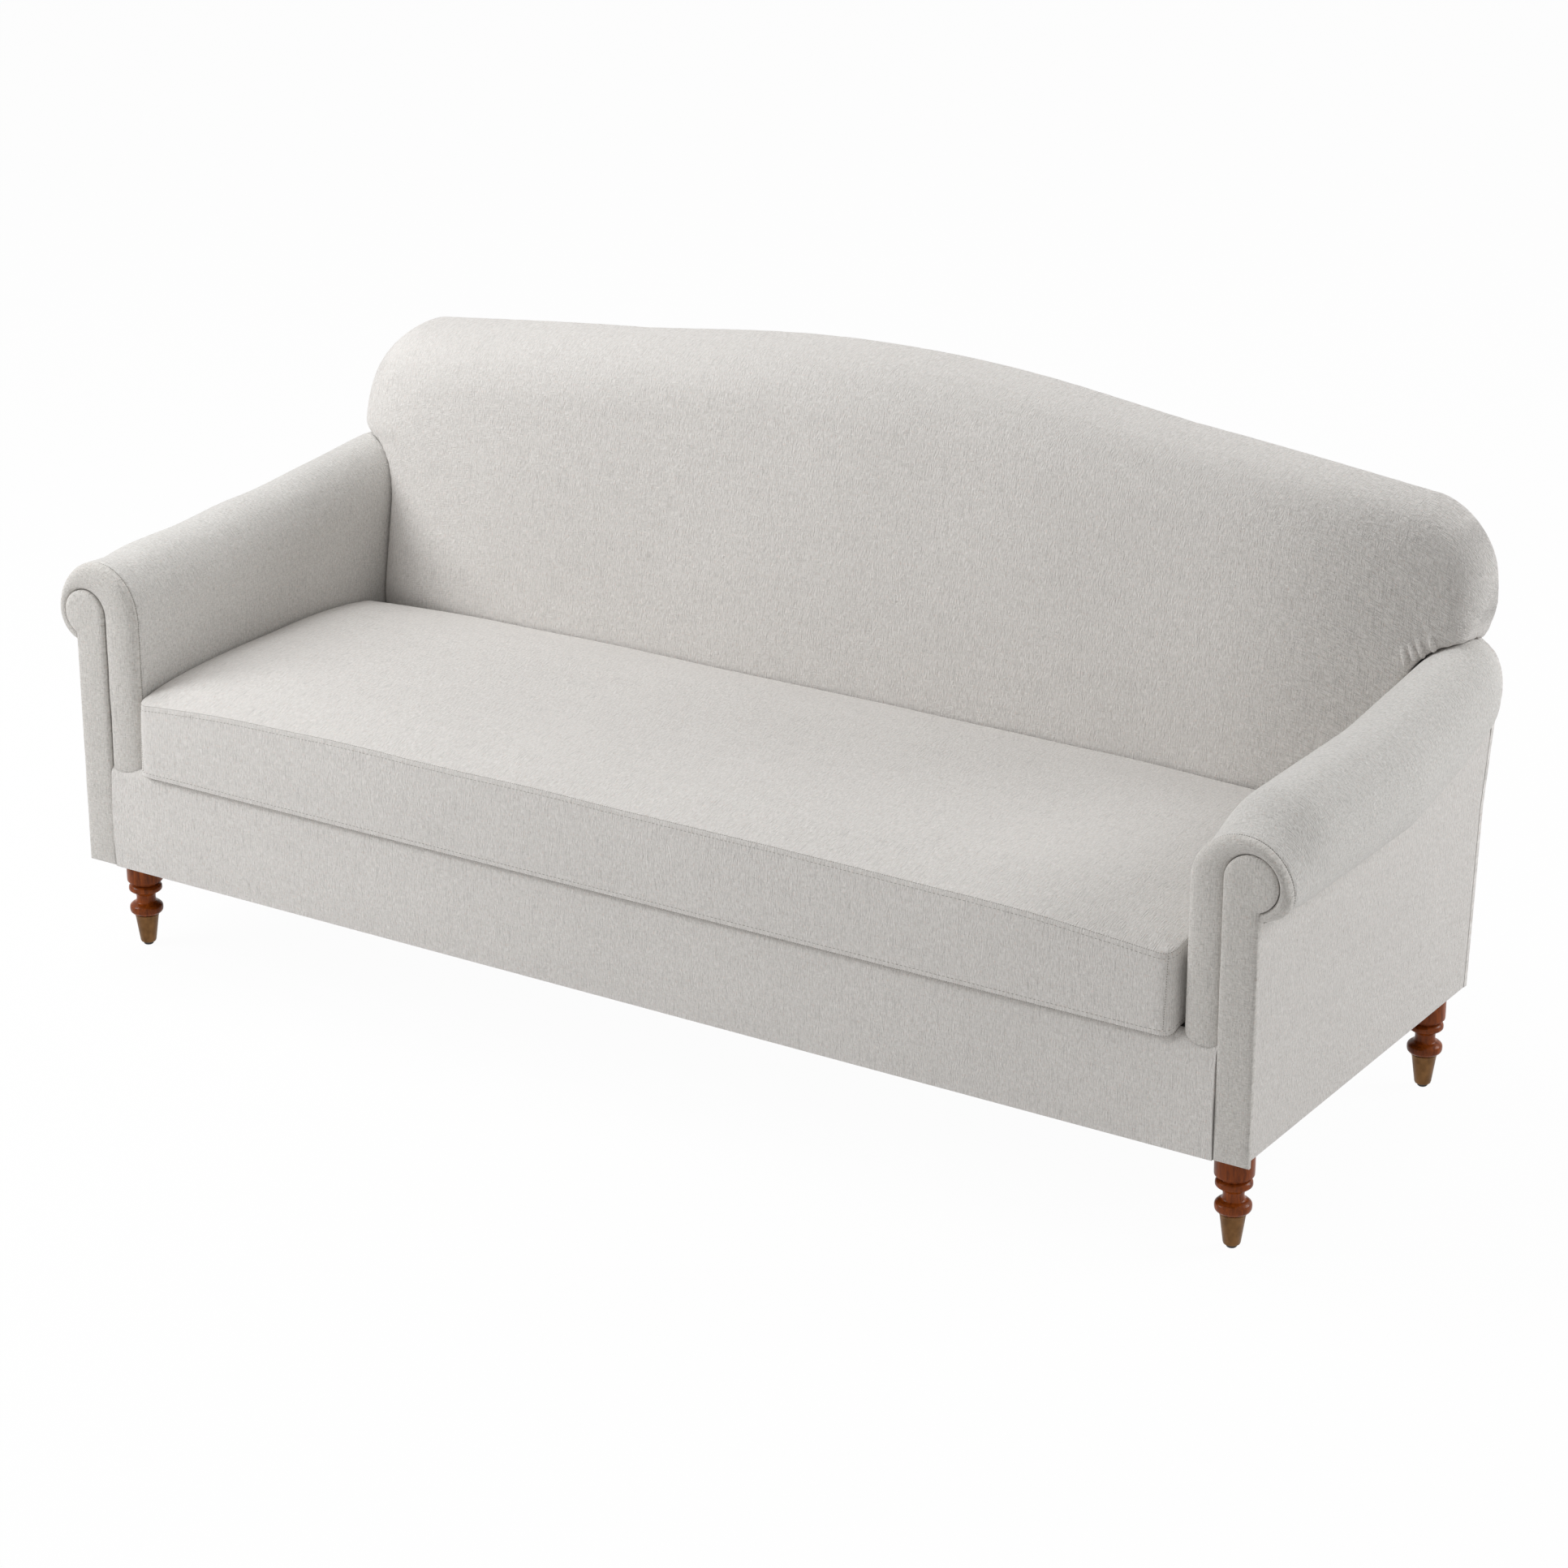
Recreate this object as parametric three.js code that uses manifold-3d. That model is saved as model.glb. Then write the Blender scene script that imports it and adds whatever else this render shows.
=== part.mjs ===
// A camelback sofa with rolled arms, one bench cushion and four turned legs.
// Millimetres, +X to the right as seen from the front, +Y to the back, +Z up.
// While it is drawn, y = 0 is the face of the front rail; the group is then
// set with its origin on the floor at the middle of the sofa's box.
import * as THREE from 'three';
import { mergeVertices } from 'three/addons/utils/BufferGeometryUtils.js';
import Module from 'manifold-3d';

const wasm = await Module();
wasm.setup();

// Driving dimensions of the whole sofa
const seatWidth = 1800;
const armWidth = 103;
const underHeight = 155;
const apronHeight = 172.4;
const backHeight = 948;
const footDepth = 714;
const backFootThickness = 136;
const lowerRakeShare = 0.075;
const upperRakeShare = 0.2;
const rakeTurn = 430;
const backLeanShare = 0.178;
const clearance = 0.3;
const overrun = 12;
const weldTolerance = 0.0001;

// Padding and panels
const armPadThickness = 24;
const frontPadThickness = 20;
const sidePanelThickness = 9;
const backPanelThickness = 9;
const dustThickness = 1.5;
const deckThickness = 26.8;

// Arm roll: its section behind the front seam, and how the seam draws it in
const rollOverhang = 55;
const rollHalfHeight = 88;
const rollCentreHeight = 565;
const creaseDrop = 67;
const seamDrawAcross = 3;
const seamDrawHigh = 11;
const seamDrop = 20;
const seamCreaseLift = 10;
const swellLength = 115;
const climbStart = 380;
const rollClimb = 38;
const rollClimbPower = 1.2;
const creaseClimb = 74;
const creaseClimbPower = 1.5;
const rollTaper = 13;
const curlAcrossShare = 0.92;
const curlDropShare = 0.72;
const rollTuck = 12;
const rollTuckLength = 95;
const lipShare = 0.5;
const armStationShares = [0, 0.035, 0.08, 0.14, 0.22, 0.34, 0.46, 0.56, 0.65, 0.74, 0.84, 0.93, 0.965, 1];
const rollArcSteps = 12;
const rollCurlSteps = 5;

// Arm front: the rounded band and the facing
const bandRound = 15;
const bandRoundSteps = 4;
const facingWidth = 54;
const facingProud = 2;
const facingOverhang = 9;
const facingHeadRadius = 40;
const facingHeadDrop = 3;
const facingEdgeRound = 5;
const facingHeadSteps = 14;

// Seat cushion
const cushionEndGap = 13;
const cushionFrontReach = 8;
const cushionHeight = 147;
const cushionCrown = 18;
const cushionCornerRadius = 24;
const cushionCoverThickness = 6;
const cushionCornerDip = 14;
const cushionBulge = 3;
const cushionShift = 9;
const dipEndPower = 8;
const dipEdgePower = 4;
const cushionLongSteps = 12;
const cushionShortSteps = 4;
const cushionCornerSteps = 3;
const zipEndGap = 187;
const zipHeight = 11;
const zipThickness = 3;

// The cushion's rings: share of the height, insets in bulges, and share of the corners' dip
const boxingShares = [
  [0, 3, 0], [0.05, 0.8, 0], [0.16, -0.2, 0], [0.5, -1, 0.3], [0.85, -0.3, 0.8], [0.96, 0.5, 1],
];
// Above the seam: share of the way in, share of the crown, and share of the corners' dip
const crownShares = [
  [0, 0, 1], [0.05, 0.28, 0.8], [0.16, 0.55, 0.5], [0.35, 0.8, 0.2], [0.66, 0.97, 0], [0.9, 1, 0],
];

// Back
const wingOverhang = 85;
const wingFootRise = 37;
const wingFootLift = 32;
const wingFootTuck = 12;
const wingSideShare = 0.4;
const wingCornerWidth = 112;
const wingCornerDrop = 78;
const camelDrop = 40;
const camelShares = { flat: 0.2, fall: 0.31, shoulder: 0.5, fallDrop: 0.45, glide: 0.64, glideDrop: 0.4 };
const wingCornerShares = { across: 0.46, down: 0.5 };
const backTopRound = 62;
const backCrestShare = 0.83;
const backGap = 8;
const backLeanStart = 450;
const backCrown = 10;
const crownFadeShare = 0.8;
const backEndRecess = 71;
const backRecessStartShare = 0.65;
const backRecessPower = 2.2;
const backRimInset = 12;
const backTopInset = 58;
const rollToWingGap = 2;
const camelSteps = 6;
const shoulderSteps = 4;
const wingCornerSteps = 6;
const backFaceSteps = 7;
const backRollSteps = 6;
const backRimSteps = 3;

// Hardwood frame
const railThickness = 25;
const sideRailThickness = 25;
const backBoardThickness = 25;
const springWire = 4;
const backPostDepth = 60;
const backPostOuterInset = 25;
const backPostWidth = 58.4;
const backPostTaperLength = 80;
const backPostWaistDrop = 5;
const backPostWaistLength = 40;
const topRailHeight = 188;
const backTackRailHeight = 47;
const uprightWidth = 50;
const armTackRailHeight = 45;
const armTackRailWidth = 25;
const armTopBoardHeight = 34;
const stretcherPlaceShare = 0.333;
const stretcherHeight = 60;
const blockHeight = 50;
const blockLength = 110;
const blockReach = 90;
const rearBlockReach = 33;

// Seat springs and the apron's cover
const springCount = 7;
const springSwing = 25;
const springWaves = 7;
const springSteps = 56;
const springSetback = 12;
const apronRound = 22;
const apronBulge = 3;
const apronFlangeDepth = 75;
const apronRoundSteps = 4;
const apronBulgeSteps = 4;

// Turned legs
const legSideInset = 43;
const legFrontDepth = 65.6;
const legRearInset = 41;
const legCollarRadius = 28;
const legSides = 14;
const ferruleTopRadius = 18.6;
const tenonRadius = 9;
const tenonFoot = 14;
const glideRadius = 7.7;
const glideHeight = 4;
const glideBevel = 1.2;
const glideStemRadius = 3;
const boltRadius = 4;
const boltInLeg = 32;
const boltInFrame = 38;
const boltSides = 8;

// The leg above its ferrule as shares of the collar's radius and of the leg's height
const legTurningShares = [
  [0.62, 0.338], [0.78, 0.352], [0.9, 0.374], [0.93, 0.406], [0.9, 0.435], [0.76, 0.458], [0.6, 0.474],
  [0.54, 0.503], [0.535, 0.529], [0.57, 0.561], [0.68, 0.583], [0.83, 0.594], [0.92, 0.61], [0.93, 0.629],
  [0.91, 0.648], [0.82, 0.665], [0.73, 0.674], [0.73, 0.686], [0.86, 0.697], [0.96, 0.711], [1, 0.735],
  [1, 0.955], [0.985, 0.985], [0.94, 1],
];

// The ferrule's outside as shares of its top radius and of its height
const ferruleTurningShares = [
  [0.48, 0.083], [0.62, 0.105], [0.67, 0.155], [0.975, 0.94], [1, 0.947], [1, 1],
];

// Places worked out from the sizes above
const seatHalf = seatWidth / 2;
const armOutside = seatHalf + armWidth;
const stalkOutside = armOutside - sidePanelThickness - clearance;
const rollHalfWidth = (armWidth + rollOverhang) / 2;
const rollCentre = seatHalf + rollHalfWidth;
const creaseHeight = rollCentreHeight - creaseDrop;
const armFront = frontPadThickness + clearance;
const frameFront = frontPadThickness + clearance;
const deckTop = underHeight + apronHeight;
const deckUnder = deckTop - deckThickness;
const railTop = deckUnder - springWire - 2 * clearance;
const frameFoot = underHeight + dustThickness + clearance;
const upholsteryFoot = deckTop + clearance;
const facingOuter = armOutside + facingOverhang;
const facingInner = facingOuter - facingWidth;
const facingHeadCentre = facingInner + facingHeadRadius;
const facingHeadHeight = rollCentreHeight - facingHeadDrop;
const backFrontFoot = footDepth - backFootThickness;
const cushionBack = backFrontFoot - backGap;
const cushionDepth = cushionBack + cushionFrontReach;
const cushionWidth = seatWidth - 2 * cushionEndGap;
const cushionMiddle = cushionBack - cushionDepth / 2;
const cushionFoot = deckTop + clearance;
const cushionSeam = cushionFoot + cushionHeight - cushionCrown;
const zipWidth = cushionWidth - 2 * zipEndGap;
const wingReach = seatHalf + wingOverhang;
const wingFootHeight = rollCentreHeight + rollHalfHeight + wingFootRise;
const wingCornerHeight = backHeight - wingCornerDrop;
const wingTopHeight = THREE.MathUtils.lerp(wingFootHeight, wingCornerHeight, wingSideShare);
const topRailFoot = backHeight - topRailHeight;
const backPostOuter = wingReach - backPostOuterInset;
const backPostInner = stalkOutside - backPostWidth;
const backBoardDepth = backPanelThickness + clearance;
const backBoardFrontDepth = backBoardDepth + backBoardThickness;
const backPostFrontDepth = backBoardDepth + backPostDepth;
const backTackRailFoot = upholsteryFoot + clearance;
const backTackRailTop = backTackRailFoot + backTackRailHeight;
const legPlace = armOutside - legSideInset;
const legRearDepth = footDepth - legRearInset;
const legTop = underHeight - clearance;
const ferruleHeight = legTurningShares[0][1] * legTop - clearance;
const farAbove = 2 * backHeight;
const farAside = 2 * wingReach;
const farBehind = 2 * footDepth;

// Geometry helpers

function weld(geometry) {
  const bare = new THREE.BufferGeometry();
  bare.setAttribute('position', geometry.getAttribute('position'));
  bare.setIndex(geometry.getIndex());
  const merged = mergeVertices(bare, weldTolerance);
  const kept = [];
  const index = merged.getIndex().array;
  for (let at = 0; at < index.length; at += 3) {
    const [a, b, c] = index.slice(at, at + 3);
    if (a !== b && b !== c && c !== a) kept.push(a, b, c);
  }
  merged.setIndex(kept);
  return merged;
}

function volumeOf(geometry) {
  const place = geometry.getAttribute('position');
  const index = geometry.getIndex().array;
  const corners = [new THREE.Vector3(), new THREE.Vector3(), new THREE.Vector3()];
  let total = 0;
  for (let at = 0; at < index.length; at += 3) {
    corners.forEach((corner, which) => corner.fromBufferAttribute(place, index[at + which]));
    total += corners[0].dot(corners[1].clone().cross(corners[2])) / 6;
  }
  return total;
}

function facingOut(geometry) {
  if (volumeOf(geometry) > 0) return geometry;
  const index = geometry.getIndex().array;
  const turned = [];
  for (let at = 0; at < index.length; at += 3) turned.push(index[at], index[at + 2], index[at + 1]);
  geometry.setIndex(turned);
  return geometry;
}

function toSolid(geometry) {
  const closed = facingOut(weld(geometry));
  const vertProperties = Float32Array.from(closed.getAttribute('position').array);
  const triVerts = Uint32Array.from(closed.getIndex().array);
  return new wasm.Manifold(new wasm.Mesh({ numProp: 3, vertProperties, triVerts }));
}

function toGeometry(solid) {
  const { vertProperties, triVerts } = solid.getMesh();
  const geometry = new THREE.BufferGeometry();
  geometry.setAttribute('position', new THREE.BufferAttribute(Float32Array.from(vertProperties), 3));
  geometry.setIndex(Array.from(triVerts));
  return geometry;
}

function cut(geometry, ...tools) {
  return toGeometry(tools.reduce((rest, tool) => rest.subtract(toSolid(tool)), toSolid(geometry)));
}

function common(first, second) {
  return toGeometry(toSolid(first).intersect(toSolid(second)));
}

function mirrored(geometry) {
  const other = geometry.clone().scale(-1, 1, 1);
  return facingOut(other.getIndex() ? other : weld(other));
}

function block([x0, x1], [y0, y1], [z0, z1]) {
  const box = new THREE.BoxGeometry(x1 - x0, y1 - y0, z1 - z0);
  return box.translate((x0 + x1) / 2, (y0 + y1) / 2, (z0 + z1) / 2);
}

function shapeOf(points) {
  return new THREE.Shape(points.map(([across, up]) => new THREE.Vector2(across, up)));
}

// Outlines in x and z carried along y
function alongDepth(points, y0, y1) {
  const geometry = new THREE.ExtrudeGeometry(shapeOf(points), { depth: y1 - y0, bevelEnabled: false });
  return geometry.rotateX(Math.PI / 2).translate(0, y1, 0);
}

// Outlines in y and z carried along x
function alongWidth(points, x0, x1) {
  const geometry = new THREE.ExtrudeGeometry(shapeOf(points), { depth: x1 - x0, bevelEnabled: false });
  const turn = new THREE.Matrix4().makeBasis(
    new THREE.Vector3(0, 1, 0), new THREE.Vector3(0, 0, 1), new THREE.Vector3(1, 0, 0));
  return geometry.applyMatrix4(turn).translate(x0, 0, 0);
}

// Outlines in x and y carried along z
function alongHeight(points, z0, z1) {
  const geometry = new THREE.ExtrudeGeometry(shapeOf(points), { depth: z1 - z0, bevelEnabled: false });
  return geometry.translate(0, 0, z0);
}

function capFaces(ring, flatten, reversed) {
  const contour = ring.map(flatten);
  const turnsLeft = THREE.ShapeUtils.area(contour) > 0;
  return THREE.ShapeUtils.triangulateShape(contour, []).flatMap((face) => {
    const faceTurnsLeft = THREE.ShapeUtils.area(face.map((corner) => contour[corner])) > 0;
    return (faceTurnsLeft === turnsLeft) === reversed ? [face[0], face[2], face[1]] : face;
  });
}

// A closed solid through rings of as many points each, with flat ends
function loft(rings, flatten) {
  const count = rings[0].length;
  const faces = capFaces(rings[0], flatten, true);
  for (let ring = 0; ring + 1 < rings.length; ring += 1) {
    for (let step = 0; step < count; step += 1) {
      const near = ring * count + step;
      const next = ring * count + ((step + 1) % count);
      faces.push(near, next, next + count, near, next + count, near + count);
    }
  }
  const last = (rings.length - 1) * count;
  faces.push(...capFaces(rings[rings.length - 1], flatten, false).map((corner) => corner + last));
  const geometry = new THREE.BufferGeometry();
  const places = rings.flat().flatMap((point) => point.toArray());
  geometry.setAttribute('position', new THREE.Float32BufferAttribute(places, 3));
  geometry.setIndex(faces);
  return facingOut(geometry);
}

const seenFromFront = (point) => new THREE.Vector2(point.x, point.z);
const seenFromSide = (point) => new THREE.Vector2(point.y, point.z);
const seenFromAbove = (point) => new THREE.Vector2(point.x, point.y);

// A closed outline pulled in by a distance, square to its edges at each point
function pulledIn(points, distance) {
  const turnsLeft = THREE.ShapeUtils.area(points.map(([x, z]) => new THREE.Vector2(x, z))) > 0;
  const side = turnsLeft ? 1 : -1;
  const normal = ([ax, az], [bx, bz]) => {
    const length = Math.hypot(bx - ax, bz - az);
    return [(side * (az - bz)) / length, (side * (bx - ax)) / length];
  };
  return points.map((point, at) => {
    const before = normal(points[(at + points.length - 1) % points.length], point);
    const after = normal(point, points[(at + 1) % points.length]);
    const reach = distance / (1 + before[0] * after[0] + before[1] * after[1]);
    return [point[0] + (before[0] + after[0]) * reach, point[1] + (before[1] + after[1]) * reach];
  });
}

function ease(share) {
  const within = THREE.MathUtils.clamp(share, 0, 1);
  return within * within * (3 - 2 * within);
}

function lathe(points, sides) {
  const profile = points.map(([radius, height]) => new THREE.Vector2(radius, height));
  return new THREE.LatheGeometry(profile, sides).rotateX(Math.PI / 2);
}

// Planes of the raked back

function rearFace(z) {
  const lower = lowerRakeShare * (Math.min(z, rakeTurn) - underHeight);
  return footDepth + lower + upperRakeShare * Math.max(0, z - rakeTurn);
}

// An outline in x and z, as a board between two depths in from the raked rear face
function rakedBoard(points, frontDepth, backDepth) {
  const heights = [0, rakeTurn, farAbove];
  const front = heights.map((z) => [rearFace(z) - frontDepth, z]);
  const back = heights.map((z) => [rearFace(z) - backDepth, z]);
  const slab = alongWidth([...front, ...back.reverse()], -farAside, farAside);
  return common(slab, alongDepth(points, 0, farBehind));
}

const insideRear = (z) => rearFace(z) - backPanelThickness - clearance;

// Arms: one section, swollen behind the front seam and climbing toward the back

const armLength = insideRear(rollCentreHeight) - armFront;

function rollAt(along, inset) {
  const draw = 1 - ease(along / swellLength);
  const climb = Math.max(0, along - climbStart) / (armLength - climbStart);
  const tuck = rollTuck * (Math.max(0, along - armLength + rollTuckLength) / rollTuckLength) ** 2;
  return {
    centreX: rollCentre - rollTaper * climb - tuck,
    centreZ: rollCentreHeight - seamDrop * draw + rollClimb * climb ** rollClimbPower - tuck,
    halfWidth: rollHalfWidth - seamDrawAcross * draw - rollTaper * climb - tuck - inset,
    halfHeight: rollHalfHeight - seamDrawHigh * draw - tuck - inset,
    crease: creaseHeight + seamCreaseLift * draw + creaseClimb * climb ** creaseClimbPower + lipShare * inset,
  };
}

function armSection(along, inset, stalk, foot) {
  const { centreX, centreZ, halfWidth, halfHeight, crease } = rollAt(along, inset);
  const points = [[centreX - halfWidth, foot]];
  for (let step = 0; step <= rollArcSteps; step += 1) {
    const turn = Math.PI * (1 - step / rollArcSteps);
    points.push([centreX + halfWidth * Math.cos(turn), centreZ + halfHeight * Math.sin(turn)]);
  }
  const widest = centreX + halfWidth;
  const curlX = stalk + curlAcrossShare * (widest - stalk);
  const curlZ = centreZ - curlDropShare * (centreZ - crease);
  const curl = new THREE.QuadraticBezierCurve(
    new THREE.Vector2(widest, centreZ),
    new THREE.Vector2(curlX, curlZ),
    new THREE.Vector2(stalk, crease));
  curl.getPoints(rollCurlSteps).slice(1).forEach((point) => points.push([point.x, point.y]));
  points.push([stalk, foot]);
  return points;
}

function armRing(share, inset, stalk, foot) {
  return armSection(share * armLength, inset, stalk, foot).map(([x, z]) => {
    return new THREE.Vector3(x, armFront + share * (insideRear(z) - armFront), z);
  });
}

function armLoft(inset, stalk, foot, reach) {
  const rings = armStationShares.map((share) => armRing(share, inset, stalk, foot));
  if (reach > 0) {
    const behind = new THREE.Vector3(0, reach, 0);
    rings.unshift(rings[0].map((point) => point.clone().sub(behind)));
    rings.push(rings[rings.length - 1].map((point) => point.clone().add(behind)));
  }
  return loft(rings, seenFromFront);
}

function backPostProfile(grow) {
  const front = (depth, z) => rearFace(z) - depth - grow;
  const back = (z) => rearFace(z) - backBoardDepth + grow;
  const taperEnd = rakeTurn + backPostTaperLength;
  const top = topRailFoot - clearance + grow;
  return [
    [front(backPostFrontDepth, frameFoot), frameFoot],
    [back(frameFoot), frameFoot],
    [back(rakeTurn), rakeTurn],
    [back(top), top],
    [front(backBoardFrontDepth, top), top],
    [front(backBoardFrontDepth, taperEnd), taperEnd],
    [front(backPostFrontDepth, rakeTurn), rakeTurn],
  ];
}

function backPost(grow) {
  const waist = rollCentreHeight - backPostWaistDrop;
  const outline = [
    [backPostInner - grow, 0],
    [stalkOutside + grow, 0],
    [stalkOutside + grow, waist],
    [backPostOuter + grow, waist + backPostWaistLength],
    [backPostOuter + grow, farAbove],
    [backPostInner - grow, farAbove],
  ];
  const side = alongWidth(backPostProfile(grow), backPostInner - overrun, stalkOutside + overrun);
  return common(side, alongDepth(outline, 0, farBehind));
}

function armPad() {
  const heights = [0, rakeTurn, farAbove];
  const profile = [...heights.map((z) => [insideRear(z), z]), [armFront, farAbove], [armFront, 0]];
  const body = common(armLoft(0, stalkOutside, upholsteryFoot, overrun), alongWidth(profile, 0, farAside));
  const hollowSide = stalkOutside + sidePanelThickness / 2;
  const hollow = armLoft(armPadThickness, hollowSide, upholsteryFoot - overrun, overrun);
  return cut(body, hollow, backPost(clearance), backTackRail(clearance));
}

function armFrontPost() {
  const outline = armSection(0, armPadThickness + clearance, stalkOutside, frameFoot);
  return alongDepth(outline, frameFront, frameFront + railThickness);
}

const armPostInner = armSection(0, armPadThickness + clearance, stalkOutside, frameFoot)[0][0];
const behindFrontPost = frameFront + railThickness + clearance;

function armTopRail() {
  const upper = armStationShares.map((share) => {
    const { centreZ, halfHeight } = rollAt(share * armLength, armPadThickness + clearance);
    return [armFront + share * armLength, centreZ + halfHeight - armTopBoardHeight];
  });
  const inner = upper.filter(([y]) => y > behindFrontPost);
  const postFront = (z) => rearFace(z) - backBoardFrontDepth - clearance;
  const board = inner.filter(([y, z]) => y < postFront(z));
  const lastZ = inner[inner.length - 1][1];
  const profile = [
    [behindFrontPost, farAbove],
    [behindFrontPost, upper[1][1]],
    ...board,
    [postFront(lastZ), lastZ],
    [postFront(farAbove), farAbove],
  ];
  const core = armLoft(armPadThickness + clearance, stalkOutside, upholsteryFoot, 0);
  return common(core, alongWidth(profile, 0, farAside));
}

function armTackRail() {
  const foot = upholsteryFoot + clearance;
  const end = rearFace(foot) - backPostFrontDepth - clearance;
  return block(
    [armPostInner, armPostInner + armTackRailWidth],
    [behindFrontPost, end],
    [foot, foot + armTackRailHeight]);
}

function outsideArmPanel() {
  const inside = armOutside - sidePanelThickness;
  const top = armStationShares.map((share) => {
    const { crease } = rollAt(share * armLength, 0);
    return [armFront + share * (insideRear(crease) - armFront), crease - clearance];
  });
  const rear = [underHeight, rakeTurn].map((z) => [insideRear(z), z]);
  const profile = [[armFront, underHeight], ...rear, ...top.reverse()];
  return alongWidth(profile, inside, armOutside);
}

// The facing: a stile with a round head on the front of the arm

function facingOutline(grow) {
  const radius = facingHeadRadius + grow;
  const outer = facingOuter + grow;
  const inner = facingInner - grow;
  const notch = Math.asin((outer - facingHeadCentre) / radius) - Math.PI / 2;
  const points = [[inner, underHeight - (grow > 0 ? overrun : 0)]];
  for (let step = 0; step <= facingHeadSteps; step += 1) {
    const turn = Math.PI + (step / facingHeadSteps) * (notch - Math.PI);
    points.push([facingHeadCentre + radius * Math.cos(turn), facingHeadHeight + radius * Math.sin(turn)]);
  }
  points.push([outer, underHeight - (grow > 0 ? overrun : 0)]);
  return points;
}

function armFacing() {
  const outline = facingOutline(0);
  const roundShares = [[1, 0], [0.3, 0.3], [0, 1]];
  const rings = [outline.map(([x, z]) => new THREE.Vector3(x, frontPadThickness, z))];
  roundShares.forEach(([back, inset]) => {
    const y = -facingProud + facingEdgeRound * back;
    rings.push(pulledIn(outline, facingEdgeRound * inset).map(([x, z]) => new THREE.Vector3(x, y, z)));
  });
  return loft(rings, seenFromFront);
}

function armFrontBand() {
  const outline = armSection(0, 0, facingOuter, deckUnder);
  const rings = [];
  for (let step = 0; step <= bandRoundSteps; step += 1) {
    const turn = (step / bandRoundSteps) * (Math.PI / 2);
    const y = frontPadThickness - bandRound * Math.sin(turn);
    const inset = bandRound * (1 - Math.cos(turn));
    rings.push(pulledIn(outline, inset).map(([x, z]) => new THREE.Vector3(x, y, z)));
  }
  const facing = alongDepth(facingOutline(clearance), -farBehind, farBehind);
  return cut(loft(rings, seenFromFront), facing, apronCutter());
}

// The apron: padded fabric over the front rail, with a flange under the cushion

function apronProfile(grow) {
  const points = [];
  for (let step = 0; step < apronBulgeSteps; step += 1) {
    const share = step / apronBulgeSteps;
    const height = underHeight + share * (apronHeight - apronRound);
    points.push([-apronBulge * Math.sin(Math.PI * share) - grow, height]);
  }
  for (let step = 0; step <= apronRoundSteps; step += 1) {
    const turn = Math.PI - (step / apronRoundSteps) * (Math.PI / 2);
    const radius = apronRound + grow;
    points.push([apronRound + radius * Math.cos(turn), deckTop - apronRound + radius * Math.sin(turn)]);
  }
  points.push([apronFlangeDepth, deckTop + grow]);
  return points;
}

function apronCutter() {
  const below = [[apronFlangeDepth, underHeight - overrun], [-apronBulge - clearance, underHeight - overrun]];
  return alongWidth([...apronProfile(clearance), ...below], -farAside, farAside);
}

function frontRailCover() {
  const half = facingInner - clearance;
  const under = [
    [apronFlangeDepth, deckUnder],
    [frontPadThickness, deckUnder],
    [frontPadThickness, underHeight],
  ];
  const cover = alongWidth([...apronProfile(0), ...under], -half, half);
  const notch = block(
    [armPostInner - clearance, farAside],
    [frontPadThickness, farBehind],
    [deckUnder - overrun, farAbove]);
  return cut(cover, notch, mirrored(notch));
}

// The seat cushion: a boxing band, a crowned top and a foam core behind a zip

function cushionRing(inset, height, dipShare) {
  const halfWidth = cushionWidth / 2 - inset;
  const halfDepth = cushionDepth / 2 - inset;
  const radius = cushionCornerRadius * (halfDepth / (cushionDepth / 2));
  const corners = [[1, 1], [-1, 1], [-1, -1], [1, -1]];
  const points = [];
  corners.forEach(([sideX, sideY], corner) => {
    const start = (corner * Math.PI) / 2;
    for (let step = 0; step <= cushionCornerSteps; step += 1) {
      const turn = start + (step / cushionCornerSteps) * (Math.PI / 2);
      const x = sideX * (halfWidth - radius) + radius * Math.cos(turn);
      const y = sideY * (halfDepth - radius) + radius * Math.sin(turn);
      points.push([x, y]);
    }
    const [nextX, nextY] = corners[(corner + 1) % corners.length];
    const turn = start + Math.PI / 2;
    const endX = nextX * (halfWidth - radius) + radius * Math.cos(turn);
    const endY = nextY * (halfDepth - radius) + radius * Math.sin(turn);
    const [startX, startY] = points[points.length - 1];
    const steps = sideX === nextX ? cushionShortSteps : cushionLongSteps;
    for (let step = 1; step < steps; step += 1) {
      const share = step / steps;
      points.push([startX + share * (endX - startX), startY + share * (endY - startY)]);
    }
  });
  return points.map(([x, y]) => {
    const nearEnd = Math.abs(x / halfWidth) ** dipEndPower;
    const nearEdge = Math.abs(y / halfDepth) ** dipEdgePower;
    const dip = cushionCornerDip * dipShare * nearEnd * nearEdge;
    return new THREE.Vector3(x - cushionShift, cushionMiddle + y, height - dip);
  });
}

function cushionOutside() {
  const boxing = cushionSeam - cushionFoot;
  const rings = boxingShares.map(([up, inset, dip]) => {
    return cushionRing(cushionBulge * inset, cushionFoot + boxing * up, dip);
  });
  crownShares.forEach(([inwards, up, dip]) => {
    const inset = cushionBulge + inwards * (cushionDepth / 2 - cushionCornerRadius);
    rings.push(cushionRing(inset, cushionSeam + cushionCrown * up, dip));
  });
  return loft(rings, seenFromAbove);
}

function cushionInside(inset) {
  const foot = cushionFoot + inset;
  const top = cushionSeam - inset;
  const crown = cushionSeam + cushionCrown - inset;
  const deepInset = cushionDepth / 4;
  const rings = [
    cushionRing(inset + cushionBulge, foot, 0),
    cushionRing(inset, foot + inset, 0),
    cushionRing(inset, top - inset, 1),
    cushionRing(inset + cushionBulge, top, 1),
    cushionRing(deepInset, crown, 0),
  ];
  return loft(rings, seenFromAbove);
}

const zipMiddle = (cushionFoot + cushionSeam) / 2;

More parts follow.
